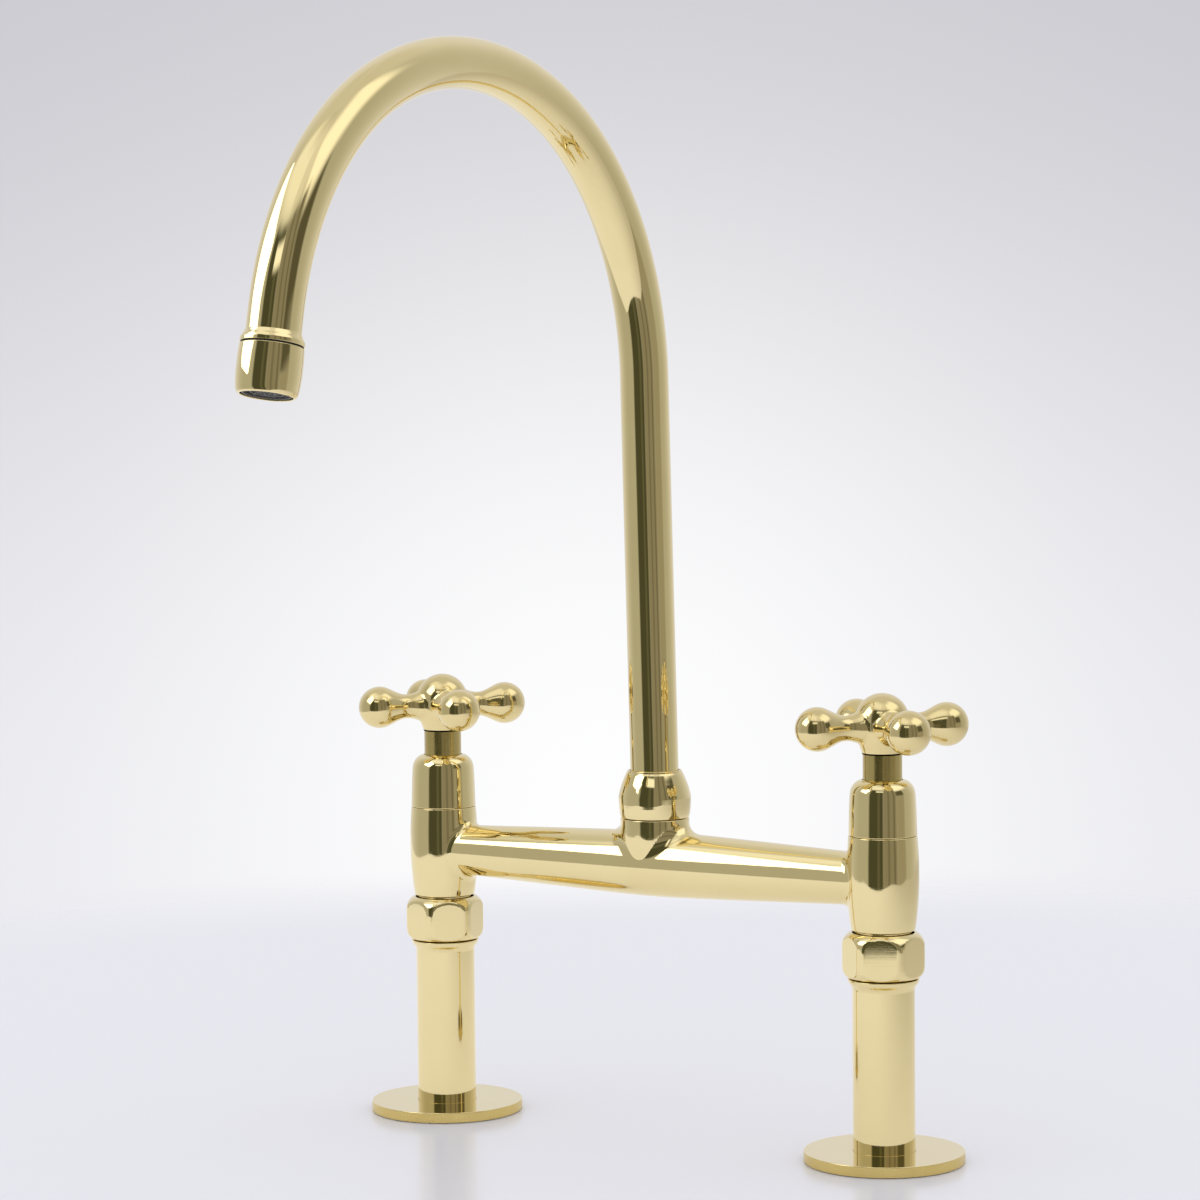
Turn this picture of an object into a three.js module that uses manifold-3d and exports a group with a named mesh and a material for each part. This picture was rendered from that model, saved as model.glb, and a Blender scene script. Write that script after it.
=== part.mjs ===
// Bridge kitchen faucet in polished brass: two deck pillars carry a cast bridge with a valve at
// each end, and a swan-neck spout swivels on the tee in the middle.
//
// Units are millimetres and +Z is up. z = 0 is the deck that the two flanges stand on. Inside the
// assembly group x = y = 0 is the spout's swivel axis, the bridge lies along X and the spout
// reaches out towards -Y. The assembly is then moved along Y, so that the finished part's origin
// is the middle of its footprint box at deck level.
//
// Each piece is a closed solid. Pieces that touch in the real faucet keep a gap of FIT between
// them, and threads are plain cylinders at their outer diameter.

import * as THREE from 'three';
import { mergeVertices } from 'three/addons/utils/BufferGeometryUtils.js';
import Module from 'manifold-3d';

const wasm = await Module();
wasm.setup();

// ---- Driving dimensions ---------------------------------------------------------------------

const FIT = 0.3; // gap between pieces that touch
const PILLAR_CENTRES = 203.2; // 8 inch centres between the two supplies

const FLANGE_RADIUS = 31;
const FLANGE_THICKNESS = 4.1;
const SEAL_INNER_RADIUS = 16;
const SEAL_OUTER_RADIUS = 26;
const SEAL_DEPTH = 1.6;

const PILLAR_RADIUS = 12;
const PILLAR_BORE_RADIUS = 7;
const SUPPLY_THREAD_RADIUS = 9.3; // half-inch pipe thread for the supply tail
const SUPPLY_THREAD_DEPTH = 15;

const NUT_BOTTOM = 70.9;
const NUT_HEIGHT = 17.7;
const NUT_ACROSS_FLATS = 28.6;
const NUT_CORNER_RADIUS = 4;
const NUT_LIP = 4.3; // the inward lip that lifts the pillar's tail
const NUT_THREAD_RADIUS = 12;
const LEFT_NUT_TURN = THREE.MathUtils.degToRad(10.6);
const RIGHT_NUT_TURN = THREE.MathUtils.degToRad(53.4);

const BRIDGE_HEIGHT = 108.35; // height of the arms' axis
const ARM_RADIUS_AT_TEE = 13;
const ARM_RADIUS_AT_VALVE = 10.1;
const WATERWAY_RADIUS = 5.5;

const VALVE_TOP = 125.8;
const VALVE_RADIUS = 13.9; // at its fullest
const VALVE_CHAMBER_RADIUS = 9.5;
const VALVE_SEAT = 100;

const BONNET_TOP = 147.4;
const BONNET_RADIUS = 13.1;

const SLEEVE_RADIUS = 7.55;
const SLEEVE_BOTTOM = 143.6;
const HUB_BOTTOM = 157.1;
const HUB_TOP = 180.4;
const HUB_DOME_RADIUS = 10.4;
const ARM_HEIGHT = 167.5; // height of the cross arms' axis
const CROSS_ARM_REACH = 35; // from the stem's axis to the end of a bulb
const CROSS_NECK_RADIUS = 4.9;
const CROSS_BULB_RADIUS = 8.5;
const HANDLE_TURN = THREE.MathUtils.degToRad(49.2);

const TEE_RADIUS = 13.7;
const TEE_TOP = 126.9;
const TEE_BORE_RADIUS = 8.3;

const SPOUT_NUT_RADIUS = 14.4;
const SPOUT_NUT_CREASE = 135;
const SPOUT_NUT_TOP = 145.7;

const TUBE_RADIUS = 9.55;
const TUBE_BORE_RADIUS = 8.1;
const TUBE_BOTTOM = 137.7;
const SPOUT_LEAN = THREE.MathUtils.degToRad(1.9);
const SPOUT_STRAIGHT_TOP = 301.5;
// The swan neck's bends in turn, each tangent to the one before it.
const SPOUT_BENDS = [
  { radius: 117, sweep: THREE.MathUtils.degToRad(61.8) },
  { radius: 129, sweep: THREE.MathUtils.degToRad(49.4) },
  { radius: 112.3, sweep: THREE.MathUtils.degToRad(54.9) },
];
const SPOUT_LEG = 8; // straight length between the last bend and the outlet collar

const COLLAR_LENGTH = 3.7;
const COLLAR_RADIUS = 11.15;
const AERATOR_LENGTH = 17.6;
const AERATOR_RADIUS = 11.35;
const AERATOR_MOUTH_RADIUS = 9;

// Facets round a turned piece.
const FINE = 28;
const CASTING = 24;
const MEDIUM = 20;
const SMALL = 16;
const INNER = 12; // slim pieces that are never seen

// ---- Materials ------------------------------------------------------------------------------

const finishes = {
  polishedBrass: { color: 0xd9c48c, roughness: 0.08, metalness: 1 },
  turnedBrass: { color: 0xb9a564, roughness: 0.3, metalness: 1 },
  rawBrass: { color: 0xb8964f, roughness: 0.45, metalness: 1 },
  steel: { color: 0xb9bbbd, roughness: 0.3, metalness: 1 },
  rubber: { color: 0x1c1c1c, roughness: 0.8, metalness: 0 },
  fibre: { color: 0x6a2f24, roughness: 0.85, metalness: 0 },
  ceramic: { color: 0xf1eee6, roughness: 0.2, metalness: 0 },
  nylon: { color: 0xe9e6dc, roughness: 0.5, metalness: 0 },
  greyPlastic: { color: 0x3c3c3c, roughness: 0.55, metalness: 0 },
};

// ---- Geometry helpers -----------------------------------------------------------------------

/** A solid turned about Z from an outline of [radius, height] points. */
function turned(outline, facets, closed = true) {
  const points = outline.map(([radius, height]) => new THREE.Vector2(radius, height));
  if (closed) points.push(points[0].clone());
  return new THREE.LatheGeometry(points, facets).rotateX(Math.PI / 2);
}

/** A plain ring or washer. */
function ring(innerRadius, outerRadius, bottom, top, facets) {
  const outline = [[innerRadius, bottom], [outerRadius, bottom], [outerRadius, top], [innerRadius, top]];
  return turned(outline, facets);
}

/** A solid cylinder about Z. */
function rod(radius, bottom, top, facets) {
  return turned([[0, bottom], [radius, bottom], [radius, top], [0, top]], facets, false);
}

/** A round-section ring. */
function oRing(centreRadius, sectionRadius, height, facets) {
  const outline = [];
  const sides = 5;
  for (let i = 0; i < sides; i++) {
    const angle = (i / sides) * 2 * Math.PI;
    outline.push([centreRadius + sectionRadius * Math.cos(angle), height + sectionRadius * Math.sin(angle)]);
  }
  return turned(outline, facets);
}

/** A shape drawn in plan and raised from bottom to top. */
function raised(shape, bottom, top, curveSegments = 6) {
  const options = { depth: top - bottom, bevelEnabled: false, curveSegments };
  return new THREE.ExtrudeGeometry(shape, options).translate(0, 0, bottom);
}

/** A point at an angle on a circle in plan. */
function polar(radius, angle) {
  return new THREE.Vector2(radius * Math.cos(angle), radius * Math.sin(angle));
}

/** The corners of a regular polygon that stands for a circle in plan. */
function roundPoints(radius, facets, centre = new THREE.Vector2()) {
  const points = [];
  for (let i = 0; i < facets; i++) points.push(polar(radius, (i / facets) * 2 * Math.PI).add(centre));
  return points;
}

/** A regular polygon with corners of the given radius, or sharp where it is 0. */
function polygonShape(acrossFlats, sides, cornerRadius) {
  const centreRadius = (acrossFlats / 2 - cornerRadius) / Math.cos(Math.PI / sides);
  const shape = new THREE.Shape();
  for (let i = 0; i < sides; i++) {
    const angle = ((i + 0.5) / sides) * 2 * Math.PI;
    const centre = polar(centreRadius, angle);
    if (cornerRadius > 0) {
      shape.absarc(centre.x, centre.y, cornerRadius, angle - Math.PI / sides, angle + Math.PI / sides);
    } else if (i === 0) {
      shape.moveTo(centre.x, centre.y);
    } else {
      shape.lineTo(centre.x, centre.y);
    }
  }
  shape.closePath();
  return shape;
}

function toManifold(geometry) {
  const bare = geometry.clone();
  bare.deleteAttribute('normal');
  bare.deleteAttribute('uv');
  const merged = mergeVertices(bare, 1e-4);
  const corners = merged.index.array;
  const kept = [];
  for (let i = 0; i < corners.length; i += 3) {
    const [a, b, c] = [corners[i], corners[i + 1], corners[i + 2]];
    if (a !== b && b !== c && c !== a) kept.push(a, b, c);
  }
  const mesh = new wasm.Mesh({
    numProp: 3,
    vertProperties: new Float32Array(merged.attributes.position.array),
    triVerts: new Uint32Array(kept),
  });
  return new wasm.Manifold(mesh);
}

function fromManifold(solid) {
  const mesh = solid.getMesh();
  const geometry = new THREE.BufferGeometry();
  geometry.setAttribute('position', new THREE.BufferAttribute(new Float32Array(mesh.vertProperties), 3));
  geometry.setIndex(new THREE.BufferAttribute(new Uint32Array(mesh.triVerts), 1));
  geometry.computeVertexNormals();
  return geometry;
}

function joined(...geometries) {
  return fromManifold(geometries.map(toManifold).reduce((whole, next) => whole.add(next)));
}

function cut(geometry, ...tools) {
  const solid = toManifold(geometry);
  return fromManifold(tools.map(toManifold).reduce((whole, next) => whole.subtract(next), solid));
}

function common(geometry, other) {
  return fromManifold(toManifold(geometry).intersect(toManifold(other)));
}

function piece(name, geometry, finish) {
  const mesh = new THREE.Mesh(geometry, new THREE.MeshStandardMaterial(finishes[finish]));
  mesh.name = name;
  return mesh;
}

// ---- Deck flanges and pillars ---------------------------------------------------------------

function deckFlange() {
  const edge = 0.4;
  return turned(
    [
      [PILLAR_RADIUS + FIT, 0],
      [SEAL_INNER_RADIUS, 0],
      [SEAL_INNER_RADIUS, SEAL_DEPTH],
      [SEAL_OUTER_RADIUS, SEAL_DEPTH],
      [SEAL_OUTER_RADIUS, 0],
      [FLANGE_RADIUS, 0],
      [FLANGE_RADIUS, FLANGE_THICKNESS - edge],
      [FLANGE_RADIUS - edge, FLANGE_THICKNESS],
      [PILLAR_RADIUS + FIT, FLANGE_THICKNESS],
    ],
    FINE,
  );
}

function flangeSeal() {
  return ring(SEAL_INNER_RADIUS + 2 * FIT, SEAL_OUTER_RADIUS - 2 * FIT, 0, SEAL_DEPTH - FIT, MEDIUM);
}

const NUT_LIP_RADIUS = 9.7;
const TAIL_RADIUS = 10.9;
const TAIL_BOTTOM = NUT_BOTTOM + NUT_LIP + FIT;
const TAIL_TOP = TAIL_BOTTOM + 3;
const WASHER_BOTTOM = TAIL_TOP + FIT;
const WASHER_TOP = WASHER_BOTTOM + 1.6;
const SPIGOT_BOTTOM = WASHER_TOP + FIT;

/** The leg: a tube with a rounded collar under the nut and a flanged tail inside the nut. */
function pillar() {
  const collarTop = NUT_BOTTOM - FIT;
  const collarLength = 3.4;
  const collarSwell = 1.85;
  const collarSweep = THREE.MathUtils.degToRad(100);
  const collarSteps = 4;
  const neckRadius = NUT_LIP_RADIUS - FIT;
  const outline = [[SUPPLY_THREAD_RADIUS, 0], [PILLAR_RADIUS, 0]];
  for (let i = 0; i <= collarSteps; i++) {
    const share = i / collarSteps;
    const swell = collarSwell * Math.sin(share * collarSweep);
    outline.push([PILLAR_RADIUS + swell, collarTop - collarLength * (1 - share)]);
  }
  outline.push(
    [neckRadius, collarTop],
    [neckRadius, TAIL_BOTTOM],
    [TAIL_RADIUS, TAIL_BOTTOM],
    [TAIL_RADIUS, TAIL_TOP],
    [PILLAR_BORE_RADIUS, TAIL_TOP],
    [PILLAR_BORE_RADIUS, SUPPLY_THREAD_DEPTH],
    [SUPPLY_THREAD_RADIUS, SUPPLY_THREAD_DEPTH],
  );
  return turned(outline, MEDIUM);
}

function unionNut(turn) {
  const top = NUT_BOTTOM + NUT_HEIGHT;
  const hexagon = raised(polygonShape(NUT_ACROSS_FLATS, 6, NUT_CORNER_RADIUS), NUT_BOTTOM, top, 1);
  // The corners are rounded off at both ends by this turned envelope.
  const endRadius = 13.2;
  const shoulderRadius = endRadius + 1.4;
  const shoulderDepth = 1;
  const cornerReach = 16.2;
  const cornerDepth = 4;
  const envelope = turned(
    [
      [0, NUT_BOTTOM],
      [endRadius, NUT_BOTTOM],
      [shoulderRadius, NUT_BOTTOM + shoulderDepth],
      [cornerReach, NUT_BOTTOM + cornerDepth],
      [cornerReach, top - cornerDepth],
      [shoulderRadius, top - shoulderDepth],
      [endRadius, top],
      [0, top],
    ],
    MEDIUM,
    false,
  );
  const bore = turned(
    [
      [0, NUT_BOTTOM - 1],
      [NUT_LIP_RADIUS, NUT_BOTTOM - 1],
      [NUT_LIP_RADIUS, NUT_BOTTOM + NUT_LIP],
      [NUT_THREAD_RADIUS, NUT_BOTTOM + NUT_LIP],
      [NUT_THREAD_RADIUS, top + 1],
      [0, top + 1],
    ],
    MEDIUM,
    false,
  );
  return cut(common(hexagon, envelope), bore).rotateZ(turn);
}

function unionWasher() {
  return ring(PILLAR_BORE_RADIUS + 0.2, TAIL_RADIUS, WASHER_BOTTOM, WASHER_TOP, SMALL);
}

// ---- Bridge casting -------------------------------------------------------------------------

const VALVE_SPIGOT_RADIUS = NUT_THREAD_RADIUS - FIT;
const BONNET_THREAD_RADIUS = 11.2;
const BONNET_THREAD_TOP = VALVE_TOP + 5;
const SPOUT_THREAD_RADIUS = 11.5;
const SPOUT_THREAD_TOP = TEE_TOP + 6.1;

function valveBodyOutside() {
  const bodyBottom = NUT_BOTTOM + NUT_HEIGHT + 0.5;
  return turned(
    [
      [0, SPIGOT_BOTTOM],
      [VALVE_SPIGOT_RADIUS, SPIGOT_BOTTOM],
      [VALVE_SPIGOT_RADIUS, bodyBottom],
      [VALVE_RADIUS - 1.5, bodyBottom + 1.5],
      [VALVE_RADIUS - 0.65, bodyBottom + 8],
      [VALVE_RADIUS - 0.1, bodyBottom + 15.5],
      [VALVE_RADIUS, bodyBottom + 21],
      [VALVE_RADIUS - 0.15, VALVE_TOP - 8.3],
      [VALVE_RADIUS - 0.65, VALVE_TOP],
      [BONNET_THREAD_RADIUS, VALVE_TOP],
      [BONNET_THREAD_RADIUS, BONNET_THREAD_TOP],
      [0, BONNET_THREAD_TOP],
    ],
    CASTING,
    false,
  );
}

function valveBodyInside() {
  const seatRadius = PILLAR_BORE_RADIUS - 2;
  return turned(
    [
      [0, SPIGOT_BOTTOM - 1],
      [PILLAR_BORE_RADIUS, SPIGOT_BOTTOM - 1],
      [PILLAR_BORE_RADIUS, VALVE_SEAT - 4],
      [seatRadius, VALVE_SEAT - 2],
      [seatRadius, VALVE_SEAT],
      [VALVE_CHAMBER_RADIUS, VALVE_SEAT],
      [VALVE_CHAMBER_RADIUS, BONNET_THREAD_TOP + 1],
      [0, BONNET_THREAD_TOP + 1],
    ],
    SMALL,
    false,
  );
}

/** Both arms as one turned body along X, fullest at the tee and slimmer at the valves. */
function bridgeArms() {
  const end = PILLAR_CENTRES / 2 - 7; // inside the valve bodies
  const crown = 12; // half the length over which the arms are fullest
  const crownRadius = ARM_RADIUS_AT_TEE - 0.05;
  const brow = 2 * crown;
  const browRadius = ARM_RADIUS_AT_TEE - 0.4;
  return turned(
    [
      [0, -end],
      [ARM_RADIUS_AT_VALVE, -end],
      [browRadius, -brow],
      [crownRadius, -crown],
      [crownRadius, crown],
      [browRadius, brow],
      [ARM_RADIUS_AT_VALVE, end],
      [0, end],
    ],
    CASTING,
    false,
  ).rotateY(Math.PI / 2).translate(0, 0, BRIDGE_HEIGHT);
}

/** The tee's neck, which narrows into the arms below it. */
function teeNeck() {
  return turned(
    [
      [0, BRIDGE_HEIGHT - 1],
      [ARM_RADIUS_AT_TEE - 1.4, BRIDGE_HEIGHT - 1],
      [TEE_RADIUS - 0.2, BRIDGE_HEIGHT + 5.5],
      [TEE_RADIUS, BRIDGE_HEIGHT + 9],
      [TEE_RADIUS, TEE_TOP],
      [0, TEE_TOP],
    ],
    CASTING,
    false,
  );
}

/**
 * The fillet between the neck and the arms: one curve turned about the neck's axis and about the
 * arms' axis, kept where both hold it and no wider than the arms.
 */
function teeFillet() {
  const foot = 21; // where the curve ends, inside the arms
  const top = ARM_RADIUS_AT_TEE + 5.1;
  const inset = 0.7; // keeps the fillet's sides just inside the arms' sides
  const curve = [
    [foot, ARM_RADIUS_AT_TEE - 1.6],
    [foot - 2.6, ARM_RADIUS_AT_TEE + 0.25],
    [TEE_RADIUS + 2.3, ARM_RADIUS_AT_TEE + 1.5],
    [TEE_RADIUS + 0.7, ARM_RADIUS_AT_TEE + 3.3],
    [TEE_RADIUS - 0.2, top],
  ];
  const aboutNeck = turned([[0, 1], [foot, 1], ...curve, [0, top]], CASTING, false);
  const left = curve.map(([along, radius]) => [radius, -along]);
  const right = curve.map(([along, radius]) => [radius, along]).reverse();
  const aboutArms = turned([[0, -foot], ...left, ...right, [0, foot]], CASTING, false);
  aboutArms.rotateY(Math.PI / 2);
  const slab = new THREE.BoxGeometry(3 * foot, 2 * (ARM_RADIUS_AT_TEE - inset), 2 * foot);
  return common(common(aboutNeck, aboutArms), slab).translate(0, 0, BRIDGE_HEIGHT);
}

function bridgeBody() {
  const sideways = [-PILLAR_CENTRES / 2, PILLAR_CENTRES / 2];
  const valves = sideways.map((x) => valveBodyOutside().translate(x, 0, 0));
  const chambers = sideways.map((x) => valveBodyInside().translate(x, 0, 0));
  const spoutThread = rod(SPOUT_THREAD_RADIUS, TEE_TOP - 5, SPOUT_THREAD_TOP, CASTING);
  const outside = joined(bridgeArms(), ...valves, teeNeck(), teeFillet(), spoutThread);
  const waterway = rod(WATERWAY_RADIUS, -PILLAR_CENTRES / 2, PILLAR_CENTRES / 2, SMALL)
    .rotateY(Math.PI / 2)
    .translate(0, 0, BRIDGE_HEIGHT);
  const teeBore = rod(TEE_BORE_RADIUS, BRIDGE_HEIGHT, SPOUT_THREAD_TOP + 1, MEDIUM);
  return cut(outside, ...chambers, waterway, teeBore);
}

// ---- Valve headwork -------------------------------------------------------------------------

const SLEEVE_HOLE_RADIUS = SLEEVE_RADIUS + FIT;

function bonnet() {
  const shoulderHeight = 6;
  const shoulderBottom = BONNET_TOP - shoulderHeight;
  const shoulderRadius = BONNET_RADIUS - 0.5;
  const shoulderDepth = 5.4;
  const shoulderSweep = THREE.MathUtils.degToRad(80); // the sleeve's hole cuts the rest off
  const cavityRadius = BONNET_THREAD_RADIUS + FIT;
  const outline = [[BONNET_RADIUS, VALVE_TOP + FIT]];
  const steps = 4;
  for (let i = 0; i <= steps; i++) {
    const angle = (i / steps) * shoulderSweep;
    outline.push([
      shoulderRadius - shoulderDepth * (1 - Math.cos(angle)),
      shoulderBottom + shoulderHeight * Math.sin(angle),
    ]);
  }
  outline.push(
    [SLEEVE_HOLE_RADIUS, BONNET_TOP],
    [SLEEVE_HOLE_RADIUS, shoulderBottom - 0.5],
    [cavityRadius, shoulderBottom - 2.5],
    [cavityRadius, VALVE_TOP + FIT],
  );
  return turned(outline, MEDIUM);
}

const CARTRIDGE_RADIUS = VALVE_CHAMBER_RADIUS - FIT;
const CARTRIDGE_BOTTOM = VALVE_SEAT + 2.3;
const CARTRIDGE_FLANGE = BONNET_THREAD_TOP + FIT;
const CARTRIDGE_TOP = 141;
const DISC_CHAMBER_RADIUS = 7.6;
const DISC_CHAMBER_TOP = 113;
const STEM_RADIUS = 4;
const STEM_BORE_RADIUS = STEM_RADIUS + FIT;

function cartridgeBody() {
  const neckRadius = 6.8;
  const flangeTop = CARTRIDGE_FLANGE + 5;
  const flangeAcrossFlats = 19.3;
  const windowWidth = 9;
  const windowHeight = 5.6;
  const shell = turned(
    [
      [DISC_CHAMBER_RADIUS, CARTRIDGE_BOTTOM],
      [CARTRIDGE_RADIUS, CARTRIDGE_BOTTOM],
      [CARTRIDGE_RADIUS, CARTRIDGE_FLANGE + 1],
      [neckRadius, CARTRIDGE_FLANGE + 1],
      [neckRadius, CARTRIDGE_TOP],
      [STEM_BORE_RADIUS, CARTRIDGE_TOP],
      [STEM_BORE_RADIUS, DISC_CHAMBER_TOP],
      [DISC_CHAMBER_RADIUS, DISC_CHAMBER_TOP],
    ],
    SMALL,
  );
  const spannerFlats = cut(
    raised(polygonShape(flangeAcrossFlats, 6, 0), CARTRIDGE_FLANGE, flangeTop),
    rod(neckRadius - 1, CARTRIDGE_FLANGE - 1, flangeTop + 1, SMALL),
  );
  // Water leaves the disc chamber through a window in each side wall.
  const windows = new THREE.BoxGeometry(3 * CARTRIDGE_RADIUS, windowWidth, windowHeight);
  windows.translate(0, 0, CARTRIDGE_BOTTOM + windowHeight / 2 + 3.4);
  return cut(joined(shell, spannerFlats), windows);
}

function seatSeal() {
  const [bottom, top] = [VALVE_SEAT + FIT, CARTRIDGE_BOTTOM - FIT];
  return ring(PILLAR_BORE_RADIUS - 1.6, CARTRIDGE_RADIUS - 0.4, bottom, top, SMALL);
}

const DISC_RADIUS = 7.2;
const DISC_THICKNESS = 2.7;
const MOVING_DISC_BOTTOM = CARTRIDGE_BOTTOM + DISC_THICKNESS + FIT;
const SPINDLE_BOTTOM = MOVING_DISC_BOTTOM + DISC_THICKNESS + FIT;

/** The lower ceramic disc, fixed in the cartridge, with two ports opposite each other. */
function fixedDisc() {
  const shape = new THREE.Shape(roundPoints(DISC_RADIUS, SMALL));
  const portOuterRadius = 5.6;
  const portInnerRadius = 1.9;
  const portHalfAngle = 0.65;
  for (const side of [0, Math.PI]) {
    const port = new THREE.Path();
    port.absarc(0, 0, portOuterRadius, side - portHalfAngle, side + portHalfAngle);
    port.absarc(0, 0, portInnerRadius, side + portHalfAngle, side - portHalfAngle, true);
    port.closePath();
    shape.holes.push(port);
  }
  return raised(shape, CARTRIDGE_BOTTOM + 0.1, CARTRIDGE_BOTTOM + DISC_THICKNESS, 3);
}

/** The upper ceramic disc turns with the spindle: its two waists uncover the ports. */
function movingDisc() {
  const shape = new THREE.Shape();
  const waistRadius = 2.2;
  const lobeHalfAngle = 0.85;
  const waistStart = 0.9;
  for (const side of [0, Math.PI]) {
    shape.absarc(0, 0, DISC_RADIUS, side - lobeHalfAngle, side + lobeHalfAngle);
    shape.absarc(0, 0, waistRadius, side + waistStart, side + Math.PI - waistStart);
  }
  shape.closePath();
  return raised(shape, MOVING_DISC_BOTTOM, MOVING_DISC_BOTTOM + DISC_THICKNESS, 3);
}

const SPINDLE_TOP = 164.5;
const SPINDLE_RING_HEIGHT = 120.2;
const CLIP_BOTTOM = CARTRIDGE_TOP + 0.4;
const CLIP_THICKNESS = 0.9;

/** The spindle: a head that drives the moving disc, two grooves and a splined top. */
function spindle() {
  const headRadius = DISC_RADIUS - 0.1;
  const headTop = DISC_CHAMBER_TOP - 1;
  const grooveRadius = 3;
  const ringGroove = { bottom: SPINDLE_RING_HEIGHT - 1.1, top: SPINDLE_RING_HEIGHT + 1.1 };
  const clipGroove = { bottom: CLIP_BOTTOM - 0.2, top: CLIP_BOTTOM + CLIP_THICKNESS + 0.2 };
  const splineRootRadius = STEM_RADIUS - 0.6;
  const stem = turned(
    [
      [0, SPINDLE_BOTTOM],
      [headRadius, SPINDLE_BOTTOM],
      [headRadius, headTop],
      [STEM_RADIUS, headTop],
      [STEM_RADIUS, ringGroove.bottom],
      [grooveRadius, ringGroove.bottom],
      [grooveRadius, ringGroove.top],
      [STEM_RADIUS, ringGroove.top],
      [STEM_RADIUS, clipGroove.bottom],
      [grooveRadius, clipGroove.bottom],
      [grooveRadius, clipGroove.top],
      [splineRootRadius, clipGroove.top],
      [splineRootRadius, SPINDLE_TOP],
      [0, SPINDLE_TOP],
    ],
    INNER,
    false,
  );
  const teeth = 12;
  const splines = new THREE.Shape();
  for (let i = 0; i < 2 * teeth; i++) {
    const corner = polar(i % 2 === 0 ? STEM_RADIUS : STEM_RADIUS - 0.5, (i / teeth) * Math.PI);
    if (i === 0) splines.moveTo(corner.x, corner.y);
    else splines.lineTo(corner.x, corner.y);
  }
  splines.closePath();
  return joined(stem, raised(splines, HUB_BOTTOM - 4, SPINDLE_TOP - 0.5));
}

/** A C-shaped clip that keeps the spindle from rising. */
function spindleClip() {
  const halfGap = 0.5; // half the opening of the C, as an angle
  const outerRadius = 5.4;
  const innerRadius = STEM_RADIUS - 0.7;
  const shape = new THREE.Shape();
  shape.absarc(0, 0, outerRadius, halfGap, 2 * Math.PI - halfGap);
  shape.absarc(0, 0, innerRadius, 2 * Math.PI - halfGap, halfGap, true);
  shape.closePath();
  return raised(shape, CLIP_BOTTOM, CLIP_BOTTOM + CLIP_THICKNESS, 5);
}

// ---- Cross handles --------------------------------------------------------------------------

const SLEEVE_BORE_RADIUS = 6.1;
const SOCKET_RADIUS = STEM_RADIUS + 0.4;
const SOCKET_TOP = SPINDLE_TOP + 1.5;
const SCREW_RADIUS = 1.55;
const SCREW_HEIGHT = HUB_BOTTOM + 2.9;
const SCREW_ANGLE = Math.PI / 4; // between two arms, on the side that faces the wall

function stemSleeve() {
  return ring(SLEEVE_BORE_RADIUS, SLEEVE_RADIUS, SLEEVE_BOTTOM, HUB_BOTTOM - FIT, MEDIUM);
}

/** The hub: a dome over a narrowing skirt, with a spigot that holds the sleeve. */
function handleHub() {
  const spigotRadius = SLEEVE_BORE_RADIUS - FIT;
  const spigotBottom = HUB_BOTTOM - 5;
  const domeCentre = HUB_TOP - HUB_DOME_RADIUS;
  const outline = [
    [0, SOCKET_TOP],
    [SOCKET_RADIUS, SOCKET_TOP],
    [SOCKET_RADIUS, spigotBottom],
    [spigotRadius, spigotBottom],
    [spigotRadius, HUB_BOTTOM],
    [SLEEVE_RADIUS + 0.15, HUB_BOTTOM],
    [8.9, HUB_BOTTOM + 3.2],
    [10, HUB_BOTTOM + 8],
  ];
  const steps = 5;
  for (let i = 0; i < steps; i++) {
    const angle = (i / steps) * (Math.PI / 2);
    outline.push([HUB_DOME_RADIUS * Math.cos(angle), domeCentre + HUB_DOME_RADIUS * Math.sin(angle)]);
  }
  outline.push([0, HUB_TOP]);
  return turned(outline, SMALL, false);
}

/** One arm along +X: it leaves the hub wide, narrows to a neck and swells to a rounded bulb. */
function crossArm() {
  const root = 5.5; // inside the hub
  const rootRadius = 7.2;
  const neck = 13;
  const bulbCentre = CROSS_ARM_REACH - CROSS_BULB_RADIUS;
  return turned(
    [
      [0, root],
      [rootRadius, root],
      [rootRadius - 0.9, neck - 3],
      [CROSS_NECK_RADIUS + 0.2, neck],
      [CROSS_NECK_RADIUS + 0.1, neck + 3.4],
      [CROSS_NECK_RADIUS + 1.5, bulbCentre - 6.3],
      [CROSS_BULB_RADIUS - 0.4, bulbCentre - 2.5],
      [CROSS_BULB_RADIUS, bulbCentre + 0.6],
      [CROSS_BULB_RADIUS - 0.9, bulbCentre + 4],
      [CROSS_BULB_RADIUS - 3.2, bulbCentre + 7],
      [0, CROSS_ARM_REACH],
    ],
    10,
    false,
  ).rotateY(Math.PI / 2);
}

function crossHandle() {
  const arms = [0, 1, 2, 3].map((quarter) =>
    crossArm().rotateZ((quarter * Math.PI) / 2).translate(0, 0, ARM_HEIGHT),
  );
  const screwHole = rod(SCREW_RADIUS + 0.35, SOCKET_RADIUS - 1, HUB_DOME_RADIUS + 3.6, 8)
    .rotateY(Math.PI / 2)
    .rotateZ(SCREW_ANGLE)
    .translate(0, 0, SCREW_HEIGHT);
  const socket = rod(SOCKET_RADIUS, HUB_BOTTOM - 6, SOCKET_TOP, SMALL);
  return cut(joined(handleHub(), ...arms), socket, screwHole);
}

/** The grub screw that locks the handle to the spindle, with its key socket facing out. */
function handleScrew() {
  const tip = STEM_RADIUS + FIT;
  const head = tip + 3.4;
  const keyRadius = 0.9;
  const keyDepth = 1.6;
  return turned(
    [
      [0, tip],
      [SCREW_RADIUS, tip],
      [SCREW_RADIUS, head],
      [keyRadius, head],
      [keyRadius, head - keyDepth],
      [0, head - keyDepth],
    ],
    8,
    false,
  ).rotateY(Math.PI / 2).rotateZ(SCREW_ANGLE).translate(0, 0, SCREW_HEIGHT);
}

// ---- Spout joint ----------------------------------------------------------------------------

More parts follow.
